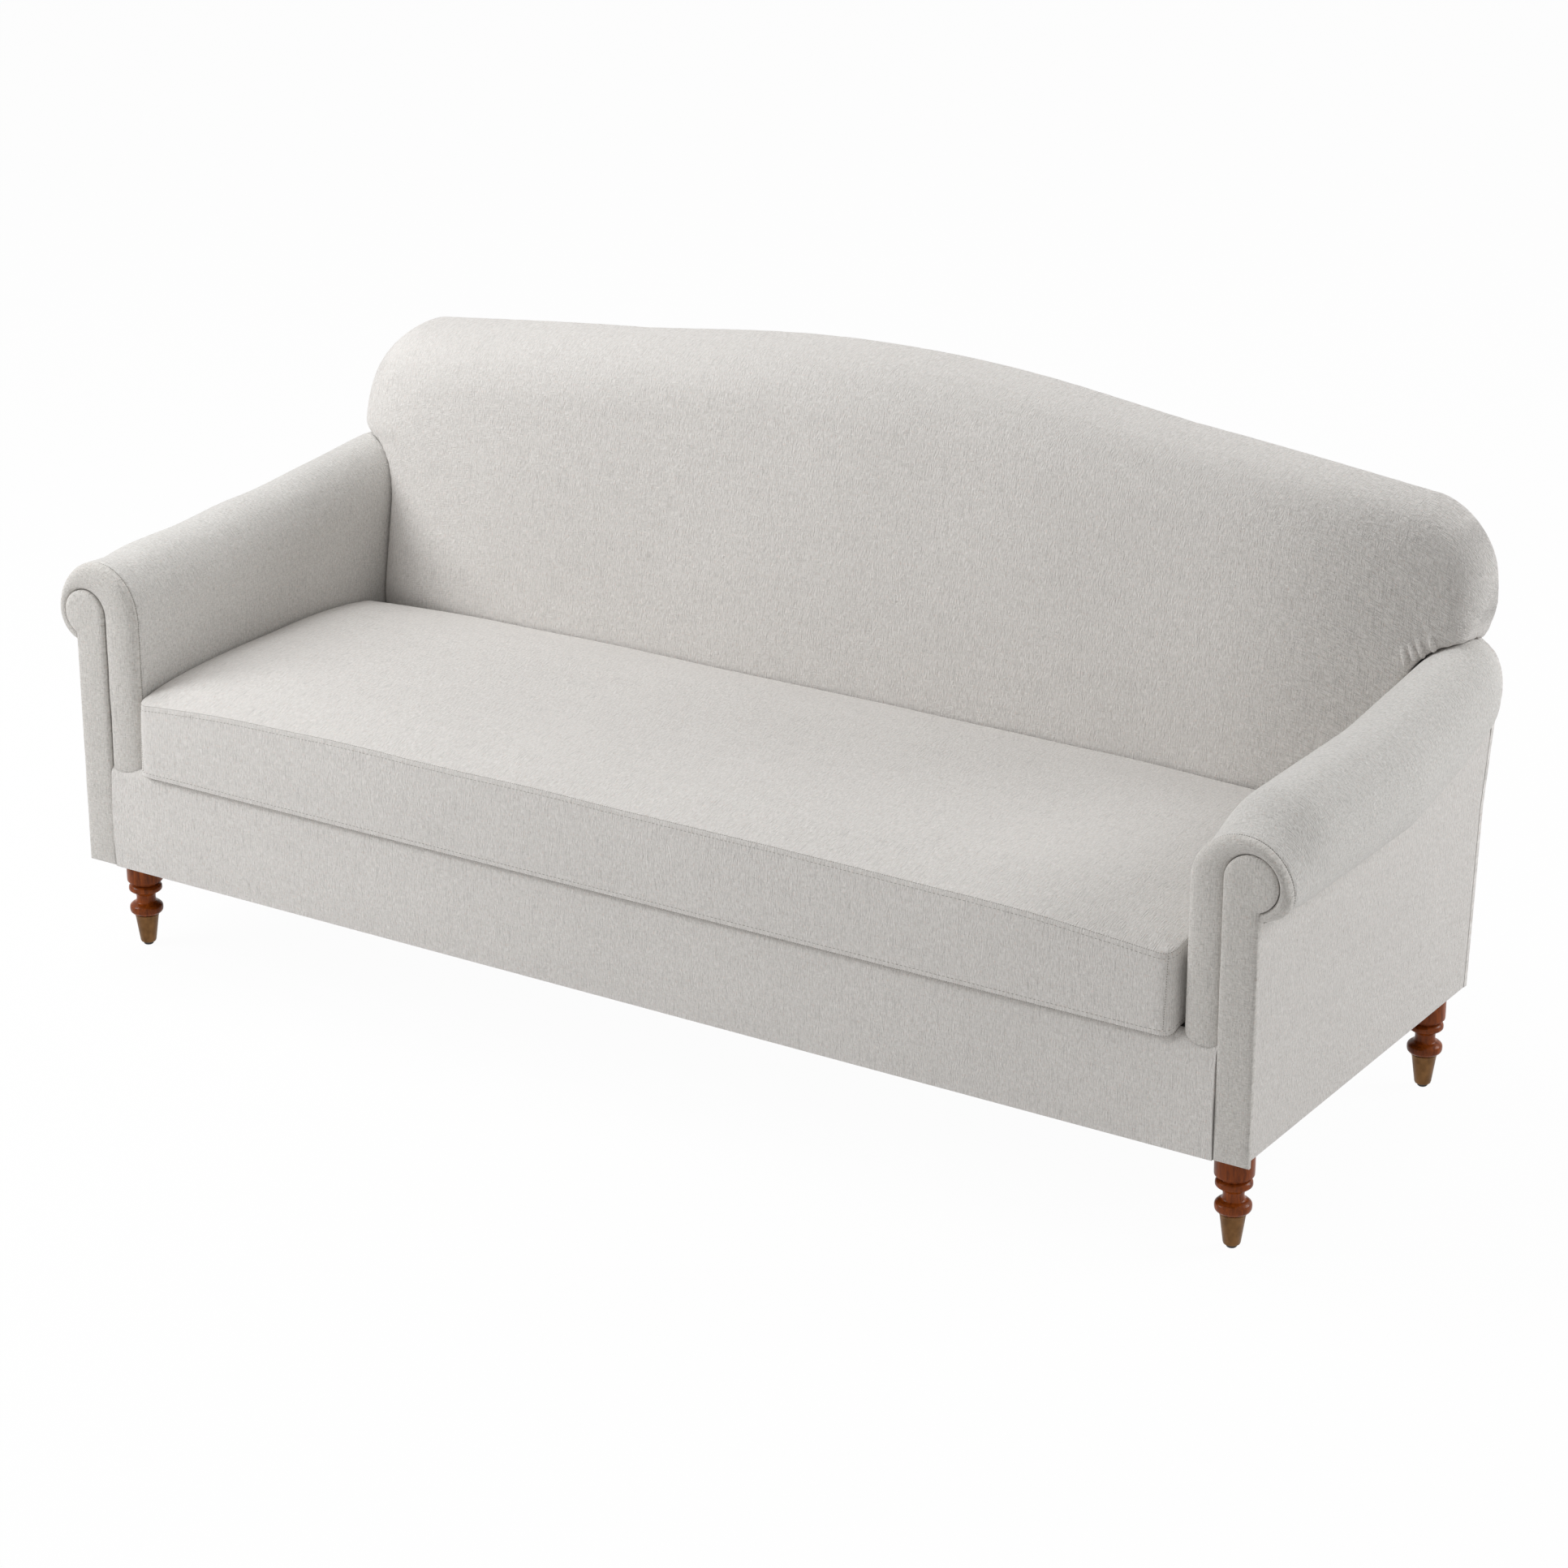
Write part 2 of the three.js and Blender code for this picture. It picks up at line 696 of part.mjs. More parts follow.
function cushionCover() {
  const slot = block(
    [-zipWidth / 2 - cushionShift, zipWidth / 2 - cushionShift],
    [cushionBack - 2 * cushionCoverThickness, cushionBack + overrun],
    [zipMiddle - zipHeight / 2, zipMiddle + zipHeight / 2]);
  return cut(cushionOutside(), cushionInside(cushionCoverThickness), slot);
}

function cushionZip() {
  const half = zipWidth / 2 - clearance;
  const halfHeight = zipHeight / 2 - clearance;
  const front = cushionBack - cushionCoverThickness + clearance;
  return block(
    [-half - cushionShift, half - cushionShift],
    [front, front + zipThickness],
    [zipMiddle - halfHeight, zipMiddle + halfHeight]);
}

// The back: its camel outline, the pad and the boards inside

function camelHalf() {
  const shoulderX = wingReach * camelShares.shoulder;
  const shoulderZ = backHeight - camelDrop;
  const cornerX = wingReach - wingCornerWidth;
  const fallZ = backHeight - camelDrop * camelShares.fallDrop;
  const wingPullHeight = THREE.MathUtils.lerp(wingTopHeight, wingCornerHeight, wingCornerShares.down);
  const glideZ = shoulderZ - (shoulderZ - wingCornerHeight) * camelShares.glideDrop * camelShares.glide;
  const hump = new THREE.CubicBezierCurve(
    new THREE.Vector2(0, backHeight),
    new THREE.Vector2(wingReach * camelShares.flat, backHeight),
    new THREE.Vector2(wingReach * camelShares.fall, fallZ),
    new THREE.Vector2(shoulderX, shoulderZ));
  const shoulder = new THREE.QuadraticBezierCurve(
    new THREE.Vector2(shoulderX, shoulderZ),
    new THREE.Vector2(wingReach * camelShares.glide, glideZ),
    new THREE.Vector2(cornerX, wingCornerHeight));
  const corner = new THREE.CubicBezierCurve(
    new THREE.Vector2(cornerX, wingCornerHeight),
    new THREE.Vector2(cornerX + wingCornerWidth * wingCornerShares.across, wingCornerHeight),
    new THREE.Vector2(wingReach, wingPullHeight),
    new THREE.Vector2(wingReach, wingTopHeight));
  return [
    ...hump.getPoints(camelSteps),
    ...shoulder.getPoints(shoulderSteps).slice(1),
    ...corner.getPoints(wingCornerSteps).slice(1),
  ];
}

function backFrontFace(x, z) {
  const start = backRecessStartShare * wingReach;
  const recessShare = Math.max(0, Math.abs(x) - start) / (wingReach - start);
  const lean = backLeanShare * Math.max(0, z - backLeanStart);
  const height = THREE.MathUtils.clamp((z - deckTop) / (backHeight - backTopRound - deckTop), 0, 1);
  const crown = backCrown * Math.sin(Math.PI * height) * (1 - crownFadeShare * recessShare);
  return backFrontFoot + lean + backEndRecess * recessShare ** backRecessPower - crown;
}

function backRing(x, top) {
  const shoulder = top - backTopRound;
  const points = [];
  for (let step = 0; step < backFaceSteps; step += 1) {
    const z = upholsteryFoot + (step / backFaceSteps) * (shoulder - upholsteryFoot);
    points.push(new THREE.Vector3(x, backFrontFace(x, z), z));
  }
  const front = backFrontFace(x, shoulder);
  const rear = rearFace(shoulder);
  const crest = THREE.MathUtils.lerp(front, rear, backCrestShare);
  for (let step = 0; step <= backRollSteps; step += 1) {
    const turn = (step / backRollSteps) * (Math.PI / 2);
    const y = crest - (crest - front) * Math.cos(turn);
    points.push(new THREE.Vector3(x, y, shoulder + backTopRound * Math.sin(turn)));
  }
  for (let step = 1; step <= backRimSteps; step += 1) {
    const turn = (step / backRimSteps) * (Math.PI / 2);
    const y = crest + (rear - crest) * Math.sin(turn);
    points.push(new THREE.Vector3(x, y, shoulder + backTopRound * Math.cos(turn)));
  }
  [rakeTurn, upholsteryFoot].forEach((z) => points.push(new THREE.Vector3(x, rearFace(z), z)));
  return points;
}

// The rear panel's outline: straight sides, the rolls' ends, the wings and the camel line
function rearOutline(shrink) {
  const half = camelHalf();
  const inner = half.map((point, at) => {
    const before = half[Math.max(0, at - 1)];
    const after = half[Math.min(half.length - 1, at + 1)];
    const tangent = after.clone().sub(before).normalize();
    const normalX = at === half.length - 1 ? 1 : -tangent.y;
    const normalZ = at === half.length - 1 ? 0 : tangent.x;
    const inset = backTopInset * normalZ ** 2 + backRimInset * normalX ** 2 + shrink;
    return [Math.max(0, point.x - normalX * inset), point.y - normalZ * inset];
  });
  const side = wingReach - backRimInset - shrink;
  const roll = armSection(armLength, shrink + clearance, armOutside - shrink, underHeight)
    .slice(1).reverse().filter(([x, z]) => z < wingFootHeight && (x > side || z < rollCentreHeight));
  const right = [...roll, [side, wingFootHeight]];
  inner.reverse().forEach((point) => right.push(point));
  const left = right.slice(0, -1).reverse().map(([x, z]) => [-x, z]);
  return [...right, ...left];
}

function backPad() {
  const half = camelHalf();
  const leftRings = half.slice(1).reverse().map((point) => backRing(-point.x, point.y));
  const rightRings = half.map((point) => backRing(point.x, point.y));
  const body = loft([...leftRings, ...rightRings], seenFromSide);
  const pocket = rakedBoard(rearOutline(0), backBoardFrontDepth + clearance, -overrun);
  const besideSeat = block([seatHalf - clearance, farAside], [0, farBehind], [0, farAbove]);
  const rollCutter = common(armLoft(-rollToWingGap, farAside, 0, farBehind), besideSeat);
  const wingFoot = [
    [seatHalf - clearance, 0],
    [seatHalf - clearance, wingFootHeight - wingFootLift],
    [wingReach - 2 * wingFootTuck, wingFootHeight - wingFootLift],
    [wingReach - wingFootTuck, wingFootHeight - wingFootLift / 2],
    [wingReach - wingFootTuck / 2, wingFootHeight],
    [wingReach, wingFootHeight + wingFootLift],
    [farAside, wingFootHeight + wingFootLift],
    [farAside, 0],
  ];
  const wingCutter = alongDepth(wingFoot, 0, farBehind);
  return cut(body, pocket, rollCutter, mirrored(rollCutter), wingCutter, mirrored(wingCutter));
}

function backTopRail() {
  const board = rakedBoard(rearOutline(clearance), backBoardFrontDepth, backBoardDepth);
  return common(board, block([-farAside, farAside], [0, farBehind], [topRailFoot, farAbove]));
}

function rakedBar(halfWidth, z0, z1, grow = 0) {
  const foot = z0 - grow;
  const top = z1 + grow;
  const outline = [[-halfWidth, foot], [halfWidth, foot], [halfWidth, top], [-halfWidth, top]];
  return rakedBoard(outline, backBoardFrontDepth + grow, backBoardDepth - grow);
}

function backTackRail(grow) {
  return rakedBar(backPostInner - clearance + grow, backTackRailFoot, backTackRailTop, grow);
}

function outsideBack() {
  return rakedBoard(rearOutline(clearance), backPanelThickness, 0);
}

// Seat: deck pad, springs, stretchers and corner blocks

function deckPad() {
  const half = backPostInner - clearance;
  const front = apronFlangeDepth + clearance;
  return block([-half, half], [front, insideRear(deckUnder) - clearance], [deckUnder, deckTop]);
}

class SerpentineWire extends THREE.Curve {
  constructor(side, height, start, end) {
    super();
    Object.assign(this, { side, height, start, end });
  }

  getPoint(share, target = new THREE.Vector3()) {
    const swing = springSwing * Math.sin(2 * Math.PI * springWaves * share);
    return target.set(this.side + swing, this.start + share * (this.end - this.start), this.height);
  }
}

function seatSpring(side) {
  const height = railTop + clearance + springWire / 2;
  const end = insideRear(railTop) - springSetback;
  const wire = new SerpentineWire(side, height, frameFront + springSetback, end);
  const radius = springWire / 2;
  const section = shapeOf([[radius, 0], [0, radius], [-radius, 0], [0, -radius]]);
  return new THREE.ExtrudeGeometry(section, { extrudePath: wire, steps: springSteps, bevelEnabled: false });
}

function boltHole(side, depth, z0, z1) {
  const hole = new THREE.CylinderGeometry(boltRadius + clearance, boltRadius + clearance, z1 - z0, boltSides);
  return hole.rotateX(Math.PI / 2).translate(side, depth, (z0 + z1) / 2);
}

function frontCornerBlock() {
  const corner = stalkOutside - sideRailThickness - clearance;
  const outline = [
    [corner, behindFrontPost],
    [corner, behindFrontPost + blockReach],
    [corner - blockLength, behindFrontPost],
  ];
  const hole = boltHole(legPlace, legFrontDepth, 0, farAbove);
  return cut(alongHeight(outline, frameFoot, frameFoot + blockHeight), hole);
}

function rearCornerBlock() {
  const back = rearFace(frameFoot) - backBoardFrontDepth - clearance;
  const corner = backPostInner - clearance;
  const outline = [[corner, back], [corner - blockLength, back], [corner, back - rearBlockReach]];
  return alongHeight(outline, frameFoot, frameFoot + blockHeight);
}

function drilledBackPost() {
  return cut(backPost(0), boltHole(legPlace, legRearDepth, 0, frameFoot + boltInFrame + clearance));
}

function dustCover() {
  const half = stalkOutside;
  const back = insideRear(underHeight);
  const outline = [[-half, armFront], [half, armFront], [half, back], [-half, back]];
  const places = [legPlace, -legPlace].flatMap((side) => [[side, legFrontDepth], [side, legRearDepth]]);
  const holes = places.map(([side, depth]) => boltHole(side, depth, 0, farAbove));
  return cut(alongHeight(outline, underHeight, underHeight + dustThickness), ...holes);
}

// Legs, each with its ferrule, glide and hanger bolt

function turnedLeg() {
  const bore = boltRadius + clearance;
  const boreFoot = legTop - boltInLeg - clearance;
  const outside = legTurningShares.map(([radius, height]) => [radius * legCollarRadius, height * legTop]);
  const profile = [
    [0, tenonFoot], [tenonRadius, tenonFoot], [tenonRadius, outside[0][1]],
    ...outside, [bore, legTop], [bore, boreFoot], [0, boreFoot],
  ];
  return lathe(profile, legSides);
}

function ferrule() {
  const stem = glideStemRadius + clearance;
  const bore = tenonRadius + clearance;
  const outside = ferruleTurningShares.map(([radius, height]) => {
    return [radius * ferruleTopRadius, height * ferruleHeight];
  });
  const seat = tenonFoot - clearance;
  const inside = [[bore, ferruleHeight], [bore, seat], [stem, seat]];
  const foot = [stem, outside[0][1]];
  return lathe([foot, ...outside, ...inside, foot], legSides);
}

function glide() {
  const stemTop = tenonFoot - 2 * clearance;
  const profile = [
    [0, 0], [glideRadius - glideBevel, 0], [glideRadius, glideBevel], [glideRadius, glideHeight],
    [glideStemRadius, glideHeight], [glideStemRadius, stemTop], [0, stemTop],
  ];
  return lathe(profile, legSides);
}

function hangerBolt() {
  const foot = legTop - boltInLeg;
  const top = frameFoot + boltInFrame;
  return lathe([[0, foot], [boltRadius, foot], [boltRadius, top], [0, top]], boltSides);
}

// Materials

const finishes = {
  fabric: { color: '#d8d6d2', roughness: 0.95, metalness: 0 },
  foam: { color: '#e9dfc3', roughness: 1, metalness: 0 },
  deckCloth: { color: '#24231f', roughness: 0.95, metalness: 0 },
  hardwood: { color: '#c9a678', roughness: 0.7, metalness: 0 },
  legWood: { color: '#a0552d', roughness: 0.35, metalness: 0 },
  bronze: { color: '#785a3c', roughness: 0.45, metalness: 0.6 },
  steel: { color: '#8f9296', roughness: 0.4, metalness: 1 },
  zip: { color: '#b9b6b0', roughness: 0.6, metalness: 0 },
  rubber: { color: '#1d1c1b', roughness: 0.7, metalness: 0 },
};

const sofa = new THREE.Group();

function add(name, geometry, finish, parent = sofa) {
  const closed = facingOut(weld(geometry));
  closed.computeVertexNormals();
  const mesh = new THREE.Mesh(closed, new THREE.MeshStandardMaterial(finishes[finish]));
  mesh.name = name;
  parent.add(mesh);
  return mesh;
}

function addPair(name, geometry, finish) {
  add(`right_${name}`, geometry, finish);
  add(`left_${name}`, mirrored(geometry), finish);
}

function addFrame() {
  const railHalf = armPostInner - clearance;
  const rearHalf = backPostInner - clearance;
  const railBack = frameFront + railThickness;
  const frontRail = block([-railHalf, railHalf], [frameFront, railBack], [frameFoot, railTop]);
  add('front_seat_rail', frontRail, 'hardwood');
  add('rear_seat_rail', rakedBar(rearHalf, frameFoot, railTop), 'hardwood');
  const sideRailEnd = rearFace(frameFoot) - backPostFrontDepth - clearance;
  const sideRail = block(
    [stalkOutside - sideRailThickness, stalkOutside],
    [behindFrontPost, sideRailEnd],
    [frameFoot, railTop]);
  addPair('side_rail', sideRail, 'hardwood');
  const stretcherEnd = rearFace(frameFoot) - backBoardFrontDepth - clearance;
  const stretcherPlace = stretcherPlaceShare * seatHalf;
  const stretcher = block(
    [stretcherPlace - railThickness / 2, stretcherPlace + railThickness / 2],
    [railBack + clearance, stretcherEnd],
    [frameFoot, frameFoot + stretcherHeight]);
  addPair('seat_stretcher', stretcher, 'hardwood');
  addPair('front_corner_block', frontCornerBlock(), 'hardwood');
  addPair('rear_corner_block', rearCornerBlock(), 'hardwood');
  addPair('arm_front_post', armFrontPost(), 'hardwood');
  addPair('arm_top_rail', armTopRail(), 'hardwood');
  addPair('arm_tack_rail', armTackRail(), 'hardwood');
  addPair('back_post', drilledBackPost(), 'hardwood');
  add('back_top_rail', backTopRail(), 'hardwood');
  add('back_tack_rail', backTackRail(0), 'hardwood');
  const upright = rakedBar(uprightWidth / 2, backTackRailTop + clearance, topRailFoot - clearance);
  add('back_upright', upright, 'hardwood');
}

function addSprings() {
  for (let at = 0; at < springCount; at += 1) {
    const side = (at - (springCount - 1) / 2) * (seatWidth / springCount);
    add(`seat_spring_${at + 1}`, seatSpring(side), 'steel');
  }
}

function addUpholstery() {
  add('deck_pad', deckPad(), 'deckCloth');
  add('dust_cover', dustCover(), 'deckCloth');
  add('front_rail_cover', frontRailCover(), 'fabric');
  addPair('arm_pad', armPad(), 'fabric');
  addPair('arm_front_band', armFrontBand(), 'fabric');
  addPair('arm_facing', armFacing(), 'fabric');
  addPair('outside_arm_panel', outsideArmPanel(), 'fabric');
  add('back_pad', backPad(), 'fabric');
  add('outside_back_panel', outsideBack(), 'fabric');
}

function addCushion() {
  add('seat_cushion_cover', cushionCover(), 'fabric');
  add('seat_cushion_core', cushionInside(cushionCoverThickness + clearance), 'foam');
  add('seat_cushion_zip', cushionZip(), 'zip');
}

function addLegs() {
  const places = {
    front_right: [legPlace, legFrontDepth],
    front_left: [-legPlace, legFrontDepth],
    rear_right: [legPlace, legRearDepth],
    rear_left: [-legPlace, legRearDepth],
  };
  Object.entries(places).forEach(([corner, [side, depth]]) => {
    const leg = new THREE.Group();
    leg.position.set(side, depth, 0);
    add(`${corner}_leg`, turnedLeg(), 'legWood', leg);
    add(`${corner}_ferrule`, ferrule(), 'bronze', leg);
    add(`${corner}_glide`, glide(), 'rubber', leg);
    add(`${corner}_hanger_bolt`, hangerBolt(), 'steel', leg);
    sofa.add(leg);
  });
}

addFrame();
addSprings();
addUpholstery();
addCushion();
addLegs();

sofa.updateMatrixWorld(true);
const wholeBox = new THREE.Box3().setFromObject(sofa);
const middle = wholeBox.getCenter(new THREE.Vector3());
sofa.position.set(-middle.x, -middle.y, -wholeBox.min.z);

export default sofa;
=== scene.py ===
"""The dressed camelback sofa: upholstery, stitching, turned legs, light and camera."""
import bpy
import math
import numpy as np
from mathutils import Matrix, Vector, noise
from mathutils.bvhtree import BVHTree

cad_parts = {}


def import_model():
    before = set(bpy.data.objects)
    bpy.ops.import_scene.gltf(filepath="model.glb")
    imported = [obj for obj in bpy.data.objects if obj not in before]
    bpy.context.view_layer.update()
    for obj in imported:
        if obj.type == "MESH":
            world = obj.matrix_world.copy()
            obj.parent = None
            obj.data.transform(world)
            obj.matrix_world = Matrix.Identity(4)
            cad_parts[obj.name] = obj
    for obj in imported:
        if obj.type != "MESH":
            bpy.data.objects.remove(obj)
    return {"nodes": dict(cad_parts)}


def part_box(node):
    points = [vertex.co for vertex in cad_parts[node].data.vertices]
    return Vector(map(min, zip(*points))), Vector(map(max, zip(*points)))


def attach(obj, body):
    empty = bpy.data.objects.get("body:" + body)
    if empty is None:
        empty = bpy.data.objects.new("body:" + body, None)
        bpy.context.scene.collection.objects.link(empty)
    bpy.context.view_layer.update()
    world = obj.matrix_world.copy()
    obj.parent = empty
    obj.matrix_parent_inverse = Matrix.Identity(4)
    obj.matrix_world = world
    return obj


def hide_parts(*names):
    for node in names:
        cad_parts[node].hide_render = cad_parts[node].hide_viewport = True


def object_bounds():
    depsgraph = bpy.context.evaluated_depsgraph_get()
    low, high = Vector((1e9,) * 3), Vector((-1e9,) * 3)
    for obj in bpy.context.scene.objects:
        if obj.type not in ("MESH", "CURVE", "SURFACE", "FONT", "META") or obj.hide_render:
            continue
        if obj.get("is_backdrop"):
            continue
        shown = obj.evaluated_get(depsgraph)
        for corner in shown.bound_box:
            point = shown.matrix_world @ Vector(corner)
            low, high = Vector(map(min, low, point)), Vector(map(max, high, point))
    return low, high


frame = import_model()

cad_low, cad_high = (tuple(corner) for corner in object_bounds())
SIDES = {1: "right", -1: "left"}

# Sizes in millimetres, as the CAD is drawn: y = 0 at the face of the front rail
ARM_OUTSIDE = 1003
STALK_OUTSIDE = 993.7
UNDER_HEIGHT = 155
DECK_TOP = 327.4
DECK_UNDER = 300.6
BACK_HEIGHT = 948
FOOT_DEPTH = 714
LOWER_RAKE = 0.075
UPPER_RAKE = 0.2
RAKE_TURN = 430
PANEL = 9
CLEARANCE = 0.3
PAD_FRONT = 20
ARM_FRONT = 20.3
ARM_PAD = 24

ROLL_CENTRE = 979
ROLL_HALF_WIDTH = 79
ROLL_HALF_HEIGHT = 88
ROLL_CENTRE_HEIGHT = 565
CREASE_HEIGHT = 498
SEAM_DRAW_ACROSS = 3
SEAM_DRAW_HIGH = 11
SEAM_DROP = 20
SEAM_CREASE_LIFT = 10
SWELL_LENGTH = 115
CLIMB_START = 380
ROLL_CLIMB = 38
ROLL_CLIMB_POWER = 1.2
CREASE_CLIMB = 74
CREASE_CLIMB_POWER = 1.5
ROLL_TAPER = 13
ROLL_TUCK = 12
ROLL_TUCK_LENGTH = 95
LIP_SHARE = 0.5
CURL_ACROSS = 0.92
CURL_DROP = 0.72
FULLER_ACROSS = 0.07
FULLER_DROP = 0.15
FULLER_LENGTH = 50
CREASE_SEAM_FRONT = 14
CREASE_SEAM_REAR = 10.5
CREASE_PULL = 5
CREASE_PULL_REACH = 42

# The left arm differs a little: how far it sags, and from where to where along the roll
LEFT_DRAW = 0.3
LEFT_DRAW_ACROSS = 4
LEFT_HEAD_LESS = 3
LEFT_CREASE_LIFT = 15
LEFT_SAG = 8
SAG_GROWS = 60
SAG_FADES_FROM = 180
SAG_FADES_OVER = 170

FACING_OUTER = 1012
FACING_INNER = 958
HEAD_RADIUS = 40
HEAD_HEIGHT = 562
APRON_ROUND = 22
APRON_BULGE = 3
APRON_FLANGE = 75
APRON_NOTCH = 927.3

WING_REACH = 985
WING_FOOT = 690
WING_TOP = 762
CORNER_WIDTH = 112
CORNER_HEIGHT = 870
CAMEL_DROP = 40
BACK_FOOT = 578
BACK_LEAN = 0.178
BACK_LEAN_START = 450
BACK_ROUND = 62
CREST_SHARE = 0.83
END_RECESS = 71
RECESS_START = 0.65
RECESS_POWER = 2.2
BACK_CROWN = 10

LEG_SIDE = 960
LEG_FRONT = 65.6
LEG_REAR = 673
LEG_RADIUS = 28
LEG_HEIGHT = 154.7
FERRULE_RADIUS = 18.6

DEPTH_SHIFT = PAD_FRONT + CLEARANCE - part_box("front_seat_rail")[0][1] * 1000


# Mesh helpers

def ease(t):
    t = np.clip(t, 0, 1)
    return t * t * (3 - 2 * t)


def unit(vectors):
    return vectors / np.linalg.norm(vectors, axis=-1, keepdims=True)


def stack(*columns):
    """Points from their coordinates, any of which may be one number for all."""
    return np.stack(np.broadcast_arrays(*columns), -1)


def arc(x, z, wide, high, turn):
    """Points round a centre at the angles in turn."""
    return stack(x + wide * np.cos(turn), z + high * np.sin(turn))


def arc_lengths(points):
    """Running length along each open line of points."""
    step = np.linalg.norm(np.diff(points, axis=-2), axis=-1)
    return np.concatenate([np.zeros(step.shape[:-1] + (1,)), np.cumsum(step, axis=-1)], axis=-1)


def ripple(points, size, depth, seed):
    """Soft noise in millimetres at each point, for cloth that isn't perfectly even."""
    offset = Vector((seed * 17.3, seed * 5.1, seed * 9.7))
    values = [noise.noise(Vector(p) / size + offset) for p in points.reshape(-1, 3).tolist()]
    return depth * np.array(values).reshape(points.shape[:-1])


def metres(points):
    """Drawn millimetres to metres in the CAD frame."""
    points = np.array(points, float)
    points[..., 1] -= DEPTH_SHIFT
    return points / 1000


def read_mesh(made):
    place = np.empty(len(made.data.vertices) * 3)
    made.data.vertices.foreach_get("co", place)
    place = place.reshape(-1, 3) * 1000
    place[:, 1] += DEPTH_SHIFT
    return place


def write_mesh(made, place):
    made.data.vertices.foreach_set("co", metres(place).ravel())
    made.data.update()


def lay_cloth(mesh, uvs):
    """Writes the fabric coordinates of each vertex, given in millimetres."""
    layer = mesh.uv_layers.new(name="cloth")
    corner = np.empty(len(mesh.loops), dtype=np.int32)
    mesh.loops.foreach_get("vertex_index", corner)
    layer.data.foreach_set("uv", (np.reshape(uvs, (-1, 2))[corner] / 1000).ravel())


def shade_smooth(mesh):
    mesh.polygons.foreach_set("use_smooth", [True] * len(mesh.polygons))


def placed(name, data):
    made = bpy.data.objects.new(name, data)
    bpy.context.scene.collection.objects.link(made)
    return made


def new_object(name, points, faces, uvs=None, sharp=None):
    mesh = bpy.data.meshes.new(name)
    mesh.from_pydata(metres(points).reshape(-1, 3).tolist(), [], faces)
    mesh.validate()
    if uvs is not None:
        lay_cloth(mesh, uvs)
    shade_smooth(mesh)
    if sharp:
        mesh.set_sharp_from_angle(angle=math.radians(sharp))
    return placed(name, mesh)


def outward(made):
    """Turns a closed mesh's faces outwards."""
    mesh = made.data
    mesh.calc_loop_triangles()
    tris = np.empty(len(mesh.loop_triangles) * 3, dtype=np.int32)
    mesh.loop_triangles.foreach_get("vertices", tris)
    a, b, c = read_mesh(made)[tris.reshape(-1, 3).T]
    if np.einsum("ij,ij->i", a, np.cross(b, c)).sum() < 0:
        mesh.flip_normals()
    return made


def tube_faces(rows, columns):
    """Faces of closed rings, one after the other, with their ends closed."""
    last = (rows - 1) * columns
    faces = [tuple(range(columns))[::-1], tuple(range(last, last + columns))]
    steps = [(at, (at + 1) % columns) for at in range(columns)]
    return [(low + a, low + b, low + b + columns, low + a + columns)
            for low in range(0, last, columns) for a, b in steps] + faces


def loft(name, rings, uvs=None, sharp=None):
    rings = np.asarray(rings, float)
    return outward(new_object(name, rings, tube_faces(*rings.shape[:2]), uvs, sharp))


def board_faces(rows, columns):
    """Faces of two grids of points, back to back, and of the rim between them."""
    count = rows * columns
    faces = []
    for low in range(0, count - columns, columns):
        for a in range(low, low + columns - 1):
            face = (a, a + 1, a + columns + 1, a + columns)
            faces += [face, tuple(at + count for at in face[::-1])]
    rim = [*range(columns), *range(2 * columns - 1, count, columns),
           *range(count - 2, count - columns - 1, -1), *range(count - 2 * columns, 0, -columns)]
    for a, b in zip(rim, rim[1:] + rim[:1]):
        faces.append((b, a, a + count, b + count))
    return faces


def board(name, near, far, plane=None, sharp=None):
    """A closed board between two grids of points, its cloth laid flat along two axes."""
    points = np.array([near, far])
    uvs = plane and points[:1, ..., plane].repeat(2, axis=0)
    return outward(new_object(name, points, board_faces(*near.shape[:2]), uvs, sharp))


def modify(made, kind, **settings):
    modifier = made.modifiers.new(kind.lower(), kind)
    for key, value in settings.items():
        setattr(modifier, key, value)
    return modifier


def bevel(made, width, segments=3, angle=38):
    modify(made, "BEVEL", width=width / 1000, segments=segments, limit_method="ANGLE",
           angle_limit=math.radians(angle))
    return made


def apply_modifiers(made):
    graph = bpy.context.evaluated_depsgraph_get()
    solid = bpy.data.meshes.new_from_object(made.evaluated_get(graph))
    old = made.data
    made.modifiers.clear()
    made.data = solid
    bpy.data.meshes.remove(old)


# The sofa's own curves

def rear_face(z):
    lower = LOWER_RAKE * (np.minimum(z, RAKE_TURN) - UNDER_HEIGHT)
    return FOOT_DEPTH + lower + UPPER_RAKE * np.maximum(0, z - RAKE_TURN)


def inside_rear(z):
    return rear_face(z) - PANEL - CLEARANCE


def arm_depth(share, z):
    """Depth at a share of the way from the arm's front to its rear, at a height."""
    return ARM_FRONT + share * (inside_rear(z) - ARM_FRONT)


ARM_LENGTH = inside_rear(ROLL_CENTRE_HEIGHT) - ARM_FRONT
SIDE_STEPS = 30
ARC_STEPS = 44
CURL_STEPS = 18


